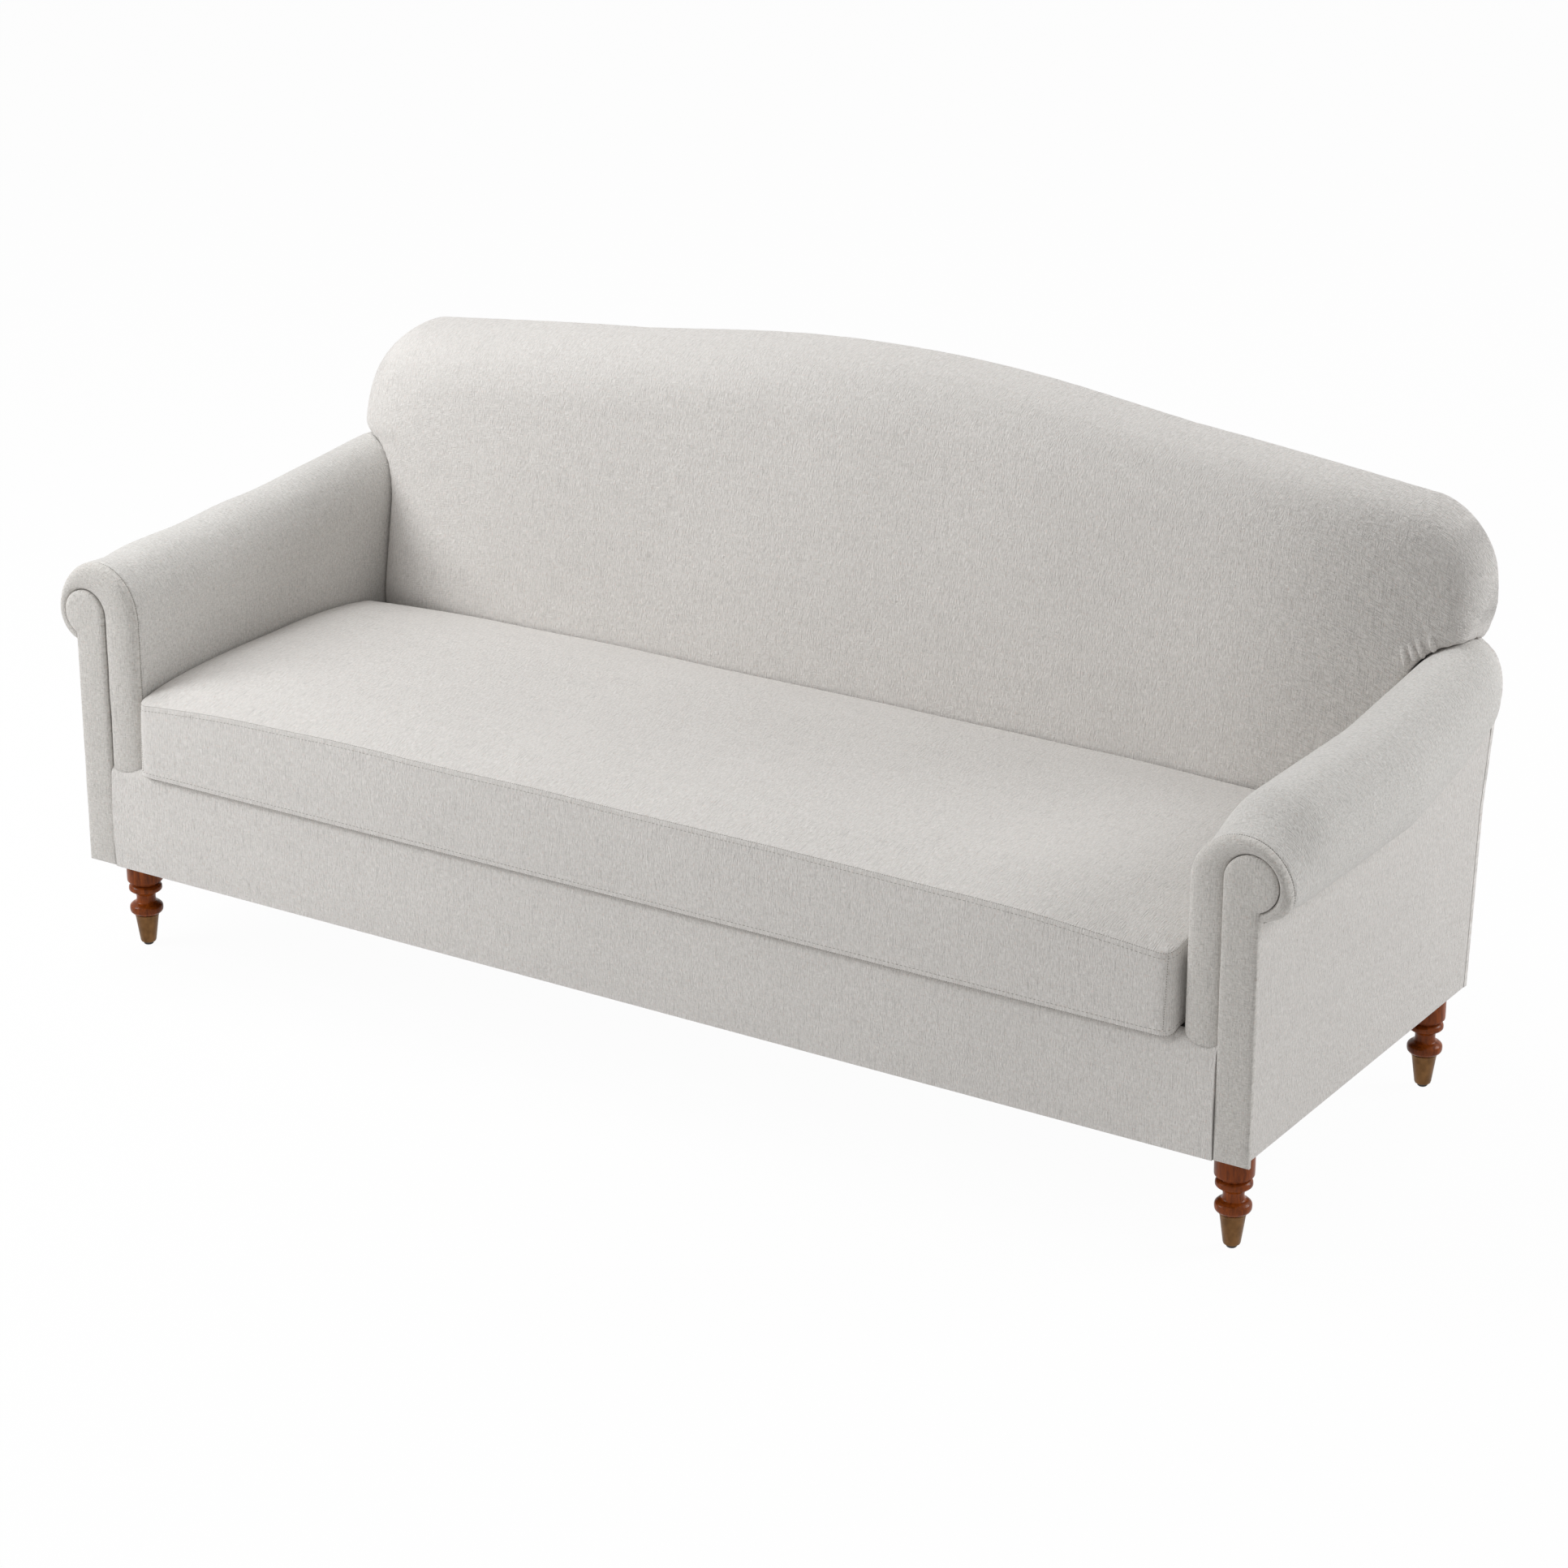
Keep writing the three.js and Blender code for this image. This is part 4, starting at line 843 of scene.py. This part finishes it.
def rear_outline(foot, low_rows, high_rows):
    """Heights up the outside back, closer together near its top, and its half width at each."""
    tangent = unit(np.gradient(CAMEL, axis=0))
    normal = stack(-tangent[:, 1], tangent[:, 0])
    normal[-1] = (1, 0)
    inset = BOARD_TOP_INSET * normal[:, 1] ** 2 + BOARD_SIDE_INSET * normal[:, 0] ** 2 + CLEARANCE
    line = CAMEL - normal * inset[:, None]
    line[0, 0] = 0
    line = line[np.argsort(line[:, 1])]
    turn, top = line[0, 1], line[-1, 1]
    heights = np.r_[np.linspace(foot, turn, low_rows, endpoint=False),
                    top - (top - turn) * np.linspace(1, 0.0005, high_rows) ** 2.2]
    reach = np.where(heights < turn, rear_half_width(heights), np.interp(heights, line[:, 1], line[:, 0]))
    return heights[:, None], reach[:, None]


def outside_back():
    heights, reach = rear_outline(UNDER_HEIGHT, 70, 60)
    near = stack(reach * np.sin(np.linspace(-1, 1, 91) * math.pi / 2), rear_face(heights), heights)
    far = near - [0, PANEL, 0]
    near[..., 1] += ripple(near, 160, 0.8, 41) * 0.6 - 0.5
    bevel(slab("outside_back_cloth", near, far, (0, 2), CLOTH, "outside_back_panel"), 1)


# Front rail cover

def rail_cover():
    half, notch = FACING_INNER - CLEARANCE, APRON_NOTCH - CLEARANCE
    stations = np.r_[-half, -notch - 0.02, np.linspace(-notch, notch, 150), notch + 0.02, half]
    share = np.linspace(0, 1, 26, endpoint=False)
    round_foot = DECK_TOP - APRON_ROUND
    face = stack(-APRON_BULGE * np.sin(math.pi * share), UNDER_HEIGHT + share * (round_foot - UNDER_HEIGHT))
    over = arc(APRON_ROUND, round_foot, APRON_ROUND, APRON_ROUND, np.linspace(math.pi, math.pi / 2, 14))
    under = [(APRON_FLANGE, DECK_TOP), (APRON_FLANGE, DECK_UNDER), (PAD_FRONT, DECK_UNDER), (PAD_FRONT, UNDER_HEIGHT)]
    profile = np.r_[face, over, under]
    rings = stack(stations[:, None], profile[:, 0], profile[:, 1])
    beside = np.abs(stations) > notch
    rings[beside, :, 1] = np.minimum(rings[beside, :, 1], PAD_FRONT)
    count = len(face) + len(over) - 1
    rings[:, 1:count, 1] += ripple(rings[:, 1:count], 150, 1.0, 51) + 0.3
    made = loft("front_rail_cloth", rings, stack(stations[:, None], arc_lengths(profile)), 50)
    dress(made, CLOTH, "front_rail_cover")
    bevel(made, 2)


# The back: a closed loft cut by the arms, then softened as cloth over foam

BACK_TURN = 100
SIDE_ROUND = 30
TURN_PULL = 75
CREST_PULL = 0.62
ROLL_GAP = 1.2
CUTTER_FOOT = 250
POCKET_FOOT = 300
POCKET_DEPTH = 34.9
POCKET_BEHIND = 60
WING_SPACE = ((935, 300), (935, 655), (961, 659), (971, 668), (978, 684), (985, 716), (1100, 722), (1100, 300))
WING_FOLDS = (
    ((908, 652), (899, 680)), ((919, 659), (909, 684)), ((929, 664), (918, 690)), ((943, 672), (933, 698)),
)
FOLD_WIDTH = 10.5
FOLD_HEIGHT = 4.0
LEFT_WING_FULLER = 12
WEFT_STRAIGHT = 620
WEFT_BEND = 0.0009


def face_depth(x, z):
    """The back's front face, with the wings' sides rounded over."""
    near_side = np.clip((np.abs(x) - (WING_REACH - SIDE_ROUND)) / SIDE_ROUND, 0, 1)
    return back_front(x, z) + SIDE_ROUND * (1 - np.sqrt(1 - near_side ** 2))


def back_profile(x, top):
    """The back's section at one place: up the face, over the crest, down behind."""
    turn_z, shoulder = top - BACK_TURN, top - BACK_ROUND
    z = np.linspace(DECK_TOP + CLEARANCE, turn_z, 44, endpoint=False)
    start = np.array([face_depth(x, turn_z), turn_z])
    lean = start - [face_depth(x, turn_z - 1), turn_z - 1]
    rear = rear_face(shoulder)
    crest = start[0] + (rear - start[0]) * CREST_SHARE
    pull = start + TURN_PULL * unit(lean)
    high = [crest - CREST_PULL * (crest - start[0]), top]
    t = np.linspace(0, 1, 30)[:, None]
    roll = ((1 - t) ** 3 * start + 3 * t * (1 - t) ** 2 * pull + 3 * t ** 2 * (1 - t) * high
            + t ** 3 * [crest, top])
    rim = arc(crest, shoulder, rear - crest, BACK_ROUND, np.linspace(math.pi / 2, 0, 10)[1:])
    low = np.linspace(shoulder, DECK_TOP + CLEARANCE, 12)[1:]
    return np.r_[stack(face_depth(x, z), z), roll, rim, stack(rear_face(low), low)]


def roll_cutter(side):
    """The space that the arm's roll needs inside the back."""
    rings = []
    for along in [*np.linspace(430, ARM_LENGTH, 34), ARM_LENGTH + 200]:
        over = arm_section(min(along, ARM_LENGTH), -ROLL_GAP, STALK_OUTSIDE, DECK_TOP)[SIDE_STEPS:][:ARC_STEPS]
        x, z = np.r_[[[over[0][0], CUTTER_FOOT]], over, [[over[-1][0], CUTTER_FOOT]]].T
        rings.append(stack(side * x, arm_depth(along / ARM_LENGTH, z), z))
    return loft("roll_space", rings)


def wing_cutter(side):
    """The space under the wing's outer end, where it rises from the roll."""
    x, z = np.transpose(WING_SPACE)
    return loft("wing_space", [stack(side * x, y, z) for y in (300, 1200)])


def pocket_cutter():
    """The space of the boards behind the back's padding."""
    heights, reach = rear_outline(POCKET_FOOT, 50, 50)
    near = stack((reach + CLEARANCE) * np.linspace(-1, 1, 15), rear_face(heights) + POCKET_BEHIND, heights)
    return board("board_space", near, near - [0, POCKET_BEHIND + POCKET_DEPTH, 0])


def back_cloth(made, place):
    """Lays the weave over the back: up its face, over the top and round the sides."""
    x, y, z = place.T
    shoulder = np.interp(np.abs(x), CAMEL[:, 0], CAMEL[:, 1]) - BACK_TURN
    behind = np.maximum(0, y - back_front(x, np.minimum(z, shoulder)))
    over = ease((z - shoulder) / BACK_TURN) * behind * 0.75
    u = x + np.sign(x) * ease((np.abs(x) - WING_REACH + 45) / 40) * behind
    v = z + over + WEFT_BEND * np.maximum(0, np.abs(x) - WEFT_STRAIGHT) ** 2
    lay_cloth(made.data, stack(u, v))


def wing_share(across, z):
    """How far into the wing's outer end a point is, from its foot to its corner."""
    return ease((across - 840) / 130) * ease((z - 676) / 26) * ease((860 - z) / 150)


def back_pad():
    rings = [np.insert(back_profile(x, top), 0, x, axis=1) for x, top in np.r_[CAMEL[:0:-1] * [-1, 1], CAMEL]]
    made = loft("back_padding", rings)
    tools = [roll_cutter(1), roll_cutter(-1), wing_cutter(1), wing_cutter(-1), pocket_cutter()]
    for tool in tools:
        modify(made, "BOOLEAN", operation="DIFFERENCE", solver="EXACT", object=tool)
    modify(made, "REMESH", mode="VOXEL", voxel_size=0.005)
    modify(made, "SMOOTH", factor=0.5, iterations=9)
    apply_modifiers(made)
    for tool in tools:
        bpy.data.objects.remove(tool)
    place = read_mesh(made)
    back_cloth(made, place)
    face = ease((back_front(place[:, 0], place[:, 2]) + 70 - place[:, 1]) / 60)
    calm = ease((place[:, 2] - 350) / 80)
    place[:, 1] -= (ripple(place, 190, 2.4, 61) + ripple(place, 70, 0.5, 62)) * face * calm
    place[:, 0] -= LEFT_WING_FULLER * wing_share(-place[:, 0], place[:, 2])
    write_mesh(made, place)
    shade_smooth(made.data)
    dress(made, CLOTH_BACK, "back_pad")
    for at, ends in enumerate(WING_FOLDS):
        start, end = (np.array([x, face_depth(x, z), z]) for x, z in ends)
        fold(f"right_wing_fold_{at + 1}", made, start, end, FOLD_WIDTH, FOLD_HEIGHT, CLOTH_BACK)


# The bench cushion: boxed, crowned and swelled by cloth simulation

CUSHION_BACK = 570
CUSHION_REACH = 8
CUSHION_FOOT = 327.7
CUSHION_SEAM = 456.7
CUSHION_CROWN = 18
CUSHION_DIP = 17
CUSHION_LEFT = -898
CUSHION_RIGHT = 893
CUSHION_DROOP = 7
SWELL = 6
SWELL_FRAMES = 20
SWELL_CLOTH = dict(
    quality=5, mass=0.3, tension_stiffness=12, compression_stiffness=12, shear_stiffness=6, bending_stiffness=1.0,
    air_damping=2.0, use_pressure=True, uniform_pressure_force=4.0, vertex_group_mass="held",
)
SEAM_INSET = 3
BOX_STEPS = 16
CORNER_ROUND = 20
STITCH_DROP = 8
DIP_FRONT_LEFT = 5
DIP_FRONT_RIGHT = 3
SEAM_LEAN = 7


class BoxGrid:
    """A closed box of quads: shares across, along and up, with its rings of side points."""

    def __init__(self, nx, ny, nz):
        self.steps = (nx, ny, nz)
        self.index, self.points, self.faces = {}, [], []
        for i in range(nx):
            for j in range(ny):
                self.quad((i, j, 0), 0, 1, True)
                self.quad((i, j, nz), 0, 1, False)
        for k in range(nz):
            for i in range(nx):
                self.quad((i, 0, k), 0, 2, False)
                self.quad((i, ny, k), 0, 2, True)
            for j in range(ny):
                self.quad((0, j, k), 1, 2, True)
                self.quad((nx, j, k), 1, 2, False)

    def vertex(self, key):
        if key not in self.index:
            self.index[key] = len(self.points)
            i, j, k = (self.closer(2 * at / steps - 1) for at, steps in zip(key, self.steps))
            self.points.append([i, j, (1 + k) / 2])
        return self.index[key]

    @staticmethod
    def closer(share):
        """Draws the lines of the grid closer together towards the seams."""
        return 1.35 * share - 0.35 * share ** 3

    def quad(self, corner, first, second, turn):
        """A face from a corner, one step along each of two axes."""
        face = [self.vertex(tuple(at + (axis in moved) for axis, at in enumerate(corner)))
                for moved in ((), (first,), (first, second), (second,))]
        self.faces.append(face[::-1] if turn else face)

    def ring(self, k):
        """Indices of the side points at one level, all the way round from the front left."""
        nx, ny, _ = self.steps
        keys = [(i, 0, k) for i in range(nx)] + [(nx, j, k) for j in range(ny)]
        keys += [(i, ny, k) for i in range(nx, 0, -1)] + [(0, j, k) for j in range(ny, 0, -1)]
        return [self.index[key] for key in keys]


def cushion_blank(grid):
    """The cushion before it swells: rounded corners in plan, a crown, and corners that dip."""
    sx, sy, k = np.array(grid.points).T
    depth = CUSHION_BACK + CUSHION_REACH
    half_w, half_d = (CUSHION_RIGHT - CUSHION_LEFT) / 2, depth / 2
    x, y = sx * half_w, sy * half_d
    inward = np.minimum(half_w - np.abs(x), half_d - np.abs(y))
    inner_w, inner_d = half_w - CORNER_ROUND, half_d - CORNER_ROUND
    a = np.clip((np.abs(x) - inner_w) / CORNER_ROUND, 0, 1)
    b = np.clip((np.abs(y) - inner_d) / CORNER_ROUND, 0, 1)
    corner = (a > 0) & (b > 0)
    x = np.where(corner, np.sign(x) * (inner_w + CORNER_ROUND * a * np.sqrt(1 - b * b / 2)), x)
    y = np.where(corner, np.sign(y) * (inner_d + CORNER_ROUND * b * np.sqrt(1 - a * a / 2)), y)
    lower = np.where(y < 0, np.where(x < 0, DIP_FRONT_LEFT, DIP_FRONT_RIGHT), 0)
    dip = (CUSHION_DIP + lower) * (np.abs(x) / half_w) ** 5 * (np.abs(y) / half_d) ** 4
    crown = CUSHION_CROWN - SWELL
    crown = crown * (1 - (1 - np.clip(inward / inner_d, 0, 1)) ** 3) ** 0.72
    on_side = (np.abs(np.abs(sx) - 1) < 1e-6) | (np.abs(np.abs(sy) - 1) < 1e-6)
    z = CUSHION_FOOT + (CUSHION_SEAM - CUSHION_FOOT) * k - dip * ease(k)
    z = np.where((k == 1) & ~on_side, CUSHION_SEAM + crown - dip, z)
    inset = SEAM_INSET * k * (1 - 0.5 * np.sin(math.pi * np.clip(k, 0, 1)) * on_side)
    x = x * (half_w - inset) / half_w + (CUSHION_LEFT + CUSHION_RIGHT) / 2
    y = y * (half_d - inset) / half_d + CUSHION_BACK - depth / 2
    z -= CUSHION_DROOP * ease((24 - y) / 30) * (1 - ease(k))
    return stack(x, y, np.maximum(z, apron_top(y) + 0.6))


def boxed_cloth(made):
    """Lays the weave flat on each side of a box."""
    mesh = made.data
    place = read_mesh(made) / 1000
    layer = mesh.uv_layers.new(name="cloth")
    for face in mesh.polygons:
        lean = [abs(v) for v in face.normal]
        sides = ((1, 2), (0, 2), (0, 1))[lean.index(max(lean))]
        for loop in face.loop_indices:
            layer.data[loop].uv = [place[mesh.loops[loop].vertex_index][k] for k in sides]


def inflate(made, held):
    """Swells a closed mesh with Blender's cloth, its held points pinned, no point moving further than SWELL."""
    scene = bpy.context.scene
    before = read_mesh(made)
    made.vertex_groups.new(name="held").add(held, 1.0, "REPLACE")
    cloth = modify(made, "CLOTH")
    for key, value in SWELL_CLOTH.items():
        setattr(cloth.settings, key, value)
    cloth.settings.effector_weights.gravity = 0
    cloth.collision_settings.use_collision = False
    cloth.collision_settings.use_self_collision = False
    cloth.point_cache.frame_start = 1
    cloth.point_cache.frame_end = SWELL_FRAMES
    for frame_number in range(1, SWELL_FRAMES + 1):
        scene.frame_set(frame_number)
    apply_modifiers(made)
    scene.frame_set(1)
    move = read_mesh(made) - before
    far = np.linalg.norm(move, axis=1, keepdims=True)
    write_mesh(made, before + move * np.minimum(1, SWELL / np.maximum(far, 1e-9)))
    made.vertex_groups.clear()


def seat_cushion():
    grid = BoxGrid(*(((176, 56, BOX_STEPS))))
    made = new_object("seat_cushion_cloth", cushion_blank(grid), grid.faces)
    boxed_cloth(made)
    underside = [at for at, (_, _, k) in enumerate(grid.points) if k == 0]
    inflate(made, sorted({*grid.ring(0), *grid.ring(BOX_STEPS), *underside}))
    place = read_mesh(made)
    top = place[:, 2] > CUSHION_SEAM - 20
    place[:, 2] += np.where(top, ripple(place, 160, 1.8, 71) + ripple(place, 60, 0.35, 72), 0)
    place[:, 0] = np.clip(place[:, 0], CUSHION_LEFT - 1, CUSHION_RIGHT + 4)
    write_mesh(made, place)
    modify(made, "SUBSURF", levels=1, render_levels=1)
    apply_modifiers(made)
    dress(made, CLOTH, "seat_cushion_cover", body="seat_cushion")
    cushion_seams(made, grid, place)


def cushion_seams(made, grid, place):
    """The sewn lines: round both edges of the boxing, a row beside each, and up the corners."""
    nx, ny, nz = grid.steps
    for word, level, away in (("top", nz, -STITCH_DROP), ("bottom", 0, STITCH_DROP)):
        ring = grid.ring(level)
        line = place[ring + ring[:1]]
        seam(f"cushion_{word}_seam", *laid_on(made, line), "seat_cushion", 0.45, THREAD_AND_SHADE)
        stitches(f"cushion_{word}_stitches", *laid_on(made, line + [0, 0, away]), "seat_cushion", 0.42)
    for word, i, j in (("front_left", 0, 0), ("front_right", nx, 0), ("rear_left", 0, ny), ("rear_right", nx, ny)):
        corner = place[[grid.index[(i, j, k)] for k in range(nz + 1)]]
        lean = np.linspace(1, 0, len(corner)) * SEAM_LEAN + 1.5
        corner[:, 0] += lean if i == 0 else -lean
        seam(f"cushion_{word}_seam", *laid_on(made, corner), "seat_cushion", 0.6, THREAD_AND_SHADE)


# Deck and dust covers

DECK_HALF = 934.9
STRIP_HALF = 926


def flat_slab(name, half, front, rear, under, top, material, node, slot):
    near = stack(np.linspace(-half, half, 60), np.linspace(front, rear, 24)[:, None], top)
    far = near.copy()
    far[..., 2] = under
    near[..., 2] += ripple(near, 90, 0.25, 81) - 0.25
    return bevel(slab(name, near, far, (0, 1), material, node, slot=slot), 1.2)


def deck_strip():
    """A dark cloth strip over the rail cover's flange, from its rounded edge back to the deck cloth."""
    depths = np.linspace(APRON_ROUND + 2, APRON_FLANGE, 6)[:, None]
    near = stack(np.linspace(-STRIP_HALF, STRIP_HALF, 40), depths, DECK_TOP + 0.22)
    slab("deck_front_strip", near, near - [0, 0, 0.2], (0, 1), DECK_CLOTH, slot="deck_cloth")


# Turned legs: radius and height, as shares of the leg's or of the ferrule's

LEG_SHARES = (
    (0.62, 0.338), (0.78, 0.352), (0.9, 0.374), (0.93, 0.406), (0.9, 0.435), (0.76, 0.458), (0.6, 0.474),
    (0.54, 0.503), (0.535, 0.529), (0.57, 0.561), (0.68, 0.583), (0.83, 0.594), (0.92, 0.61), (0.93, 0.629),
    (0.91, 0.648), (0.82, 0.665), (0.73, 0.674), (0.73, 0.686), (0.86, 0.697), (0.96, 0.711), (1, 0.735),
    (1, 0.955), (0.985, 0.985), (0.94, 1),
)
FERRULE_SHARES = ((0.48, 0.083), (0.62, 0.105), (0.67, 0.155), (0.975, 0.94), (1, 0.947), (1, 1))


def smooth_line(points, steps):
    """A curve through points, as Catmull-Rom."""
    p = np.r_[[2 * points[0] - points[1]], points, [2 * points[-1] - points[-2]]]
    t = np.linspace(0, 1, steps, endpoint=False)[:, None]
    spans = [0.5 * (2 * b + (c - a) * t + (2 * a - 5 * b + 4 * c - d) * t ** 2 + (3 * b - a - 3 * c + d) * t ** 3)
             for a, b, c, d in zip(p, p[1:], p[2:], p[3:])]
    return np.concatenate([*spans, p[-2:-1]])


def turned(name, profile, x, y):
    turns = np.linspace(0, 2 * math.pi, 56, endpoint=False)
    radius, z = profile[:, :1], profile[:, 1:]
    return loft(name, stack(x + radius * np.cos(turns), y + radius * np.sin(turns), z), None, 35)


def leg(prefix, x, y):
    profile = smooth_line(np.array(LEG_SHARES) * [LEG_RADIUS, LEG_HEIGHT], 4)
    dress(turned(prefix + "_turned_leg", profile, x, y), LEG_WOOD, prefix + "_leg", slot="leg_wood")
    height = LEG_SHARES[0][1] * LEG_HEIGHT - CLEARANCE
    cup = turned(prefix + "_bronze_cup", np.array(FERRULE_SHARES) * [FERRULE_RADIUS, height], x, y)
    dress(cup, BRONZE, prefix + "_ferrule", slot="ferrule_bronze")
    bevel(cup, 0.5, 2, 25)


for side in SIDES:
    arm_pad(side)
    arm_band(side)
    facing(side)
    arm_panel(side)
back_pad()
outside_back()
rail_cover()
seat_cushion()
deck_strip()
deck_cloth = flat_slab("deck_cloth", DECK_HALF, APRON_FLANGE + CLEARANCE, inside_rear(DECK_UNDER) - CLEARANCE,
                       DECK_UNDER, DECK_TOP, DECK_CLOTH, "deck_pad", "deck_cloth")
dust_rear = float(inside_rear(UNDER_HEIGHT))
dust_cloth = flat_slab("dust_cloth", STALK_OUTSIDE, ARM_FRONT, dust_rear, UNDER_HEIGHT,
                       UNDER_HEIGHT + 1.5, DUST_CLOTH, "dust_cover", "dust_cloth")
for end, depth in (("front", LEG_FRONT), ("rear", LEG_REAR)):
    for side, word in SIDES.items():
        leg(f"{end}_{word}", side * LEG_SIDE, depth)

# The CAD nodes that stay get their own finish
KEPT = {"glide": GLIDE, "hanger_bolt": STEEL, "seat_spring": STEEL, "cushion_core": FOAM, "cushion_zip": ZIP}
for name, node in frame["nodes"].items():
    finish = next((material for word, material in KEPT.items() if word in name), FRAME_WOOD)
    for place in node.material_slots:
        place.material = finish

# Floor, light and camera: places in metres, power in watts, angles in degrees

FLOOR_HALF = 30000
FLOOR_WHITE = 0.97
AMBIENT = 0.36
LIT_POINT = (0, 0, 0.4)
SOFTBOXES = (
    ("front_key", (-3.1, -2.3, 2.5), 1.8, 72),
    ("top_key", (-2.0, -0.2, 4.0), 2.0, 56),
    ("side", (3.6, 2.6, 2.4), 2.0, 84),
)
CAMERA_AZIMUTH = 32.345
CAMERA_ELEVATION = 21.088
CAMERA_ROLL = 0.135
CAMERA_DISTANCE = 6.62071
CAMERA_TARGET = Vector((-0.014877, 0.166729, 0.323872))
CAMERA_LENS = 98.8706
CAMERA_SHIFT = (-0.02724, -0.00852)


def floor():
    corners = [(x * FLOOR_HALF, y * FLOOR_HALF, 0) for x, y in ((-1, -1), (1, -1), (1, 1), (-1, 1))]
    made = new_object("floor", corners, [(0, 1, 2, 3)])
    n = new_material("floor_paint")
    tint = n.ramp(n.pattern("Object", 2, 2), 0.3, linear((246, 246, 246)), 0.7, linear((250, 250, 250)))
    paint = n.add("ShaderNodeBsdfDiffuse", {"Color": tint})
    n.end_white(paint.outputs["BSDF"], n.add("ShaderNodeEmission").outputs["Emission"], FLOOR_WHITE)
    made.data.materials.append(n.owner)
    made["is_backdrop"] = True


def world():
    n = Nodes(bpy.data.worlds.new("soft_studio"), "ShaderNodeOutputWorld")
    light = n.add("ShaderNodeBackground", {"Color": (1, 0.98, 0.96, 1), "Strength": AMBIENT})
    white = n.add("ShaderNodeBackground", {"Color": grey(1)})
    n.end_white(light.outputs["Background"], white.outputs["Background"])
    bpy.context.scene.world = n.owner


def softbox(name, place, size, power):
    """A round softbox that faces the sofa."""
    lamp = bpy.data.lights.new(name, "AREA")
    lamp.shape = "DISK"
    lamp.size = size
    lamp.energy = power
    lamp.color = (0.985, 0.993, 1)
    made = placed(name, lamp)
    made.location = place
    made.rotation_mode = "QUATERNION"
    made.rotation_quaternion = (Vector(place) - Vector(LIT_POINT)).to_track_quat("Z", "Y")


def camera():
    data = bpy.data.cameras.new("camera")
    data.sensor_width = 36
    data.lens = CAMERA_LENS
    data.shift_x, data.shift_y = CAMERA_SHIFT
    data.clip_end = 200
    made = placed("camera", data)
    a, e, roll = (math.radians(v) for v in (CAMERA_AZIMUTH, CAMERA_ELEVATION, CAMERA_ROLL))
    back = Vector((math.sin(a) * math.cos(e), -math.cos(a) * math.cos(e), math.sin(e)))
    right = Vector((math.cos(a), math.sin(a), 0))
    up = back.cross(right)
    right, up = right * math.cos(roll) + up * math.sin(roll), up * math.cos(roll) - right * math.sin(roll)
    turn = Matrix((right, up, back)).transposed().to_4x4()
    made.matrix_world = Matrix.Translation(CAMERA_TARGET + back * CAMERA_DISTANCE) @ turn
    bpy.context.scene.camera = made


floor()
world()
for name, place, size, power in SOFTBOXES:
    softbox(name, place, size, power)
camera()
bpy.context.scene.view_settings.view_transform = "Standard"

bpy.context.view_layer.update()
list(cad_low)
list(cad_high)
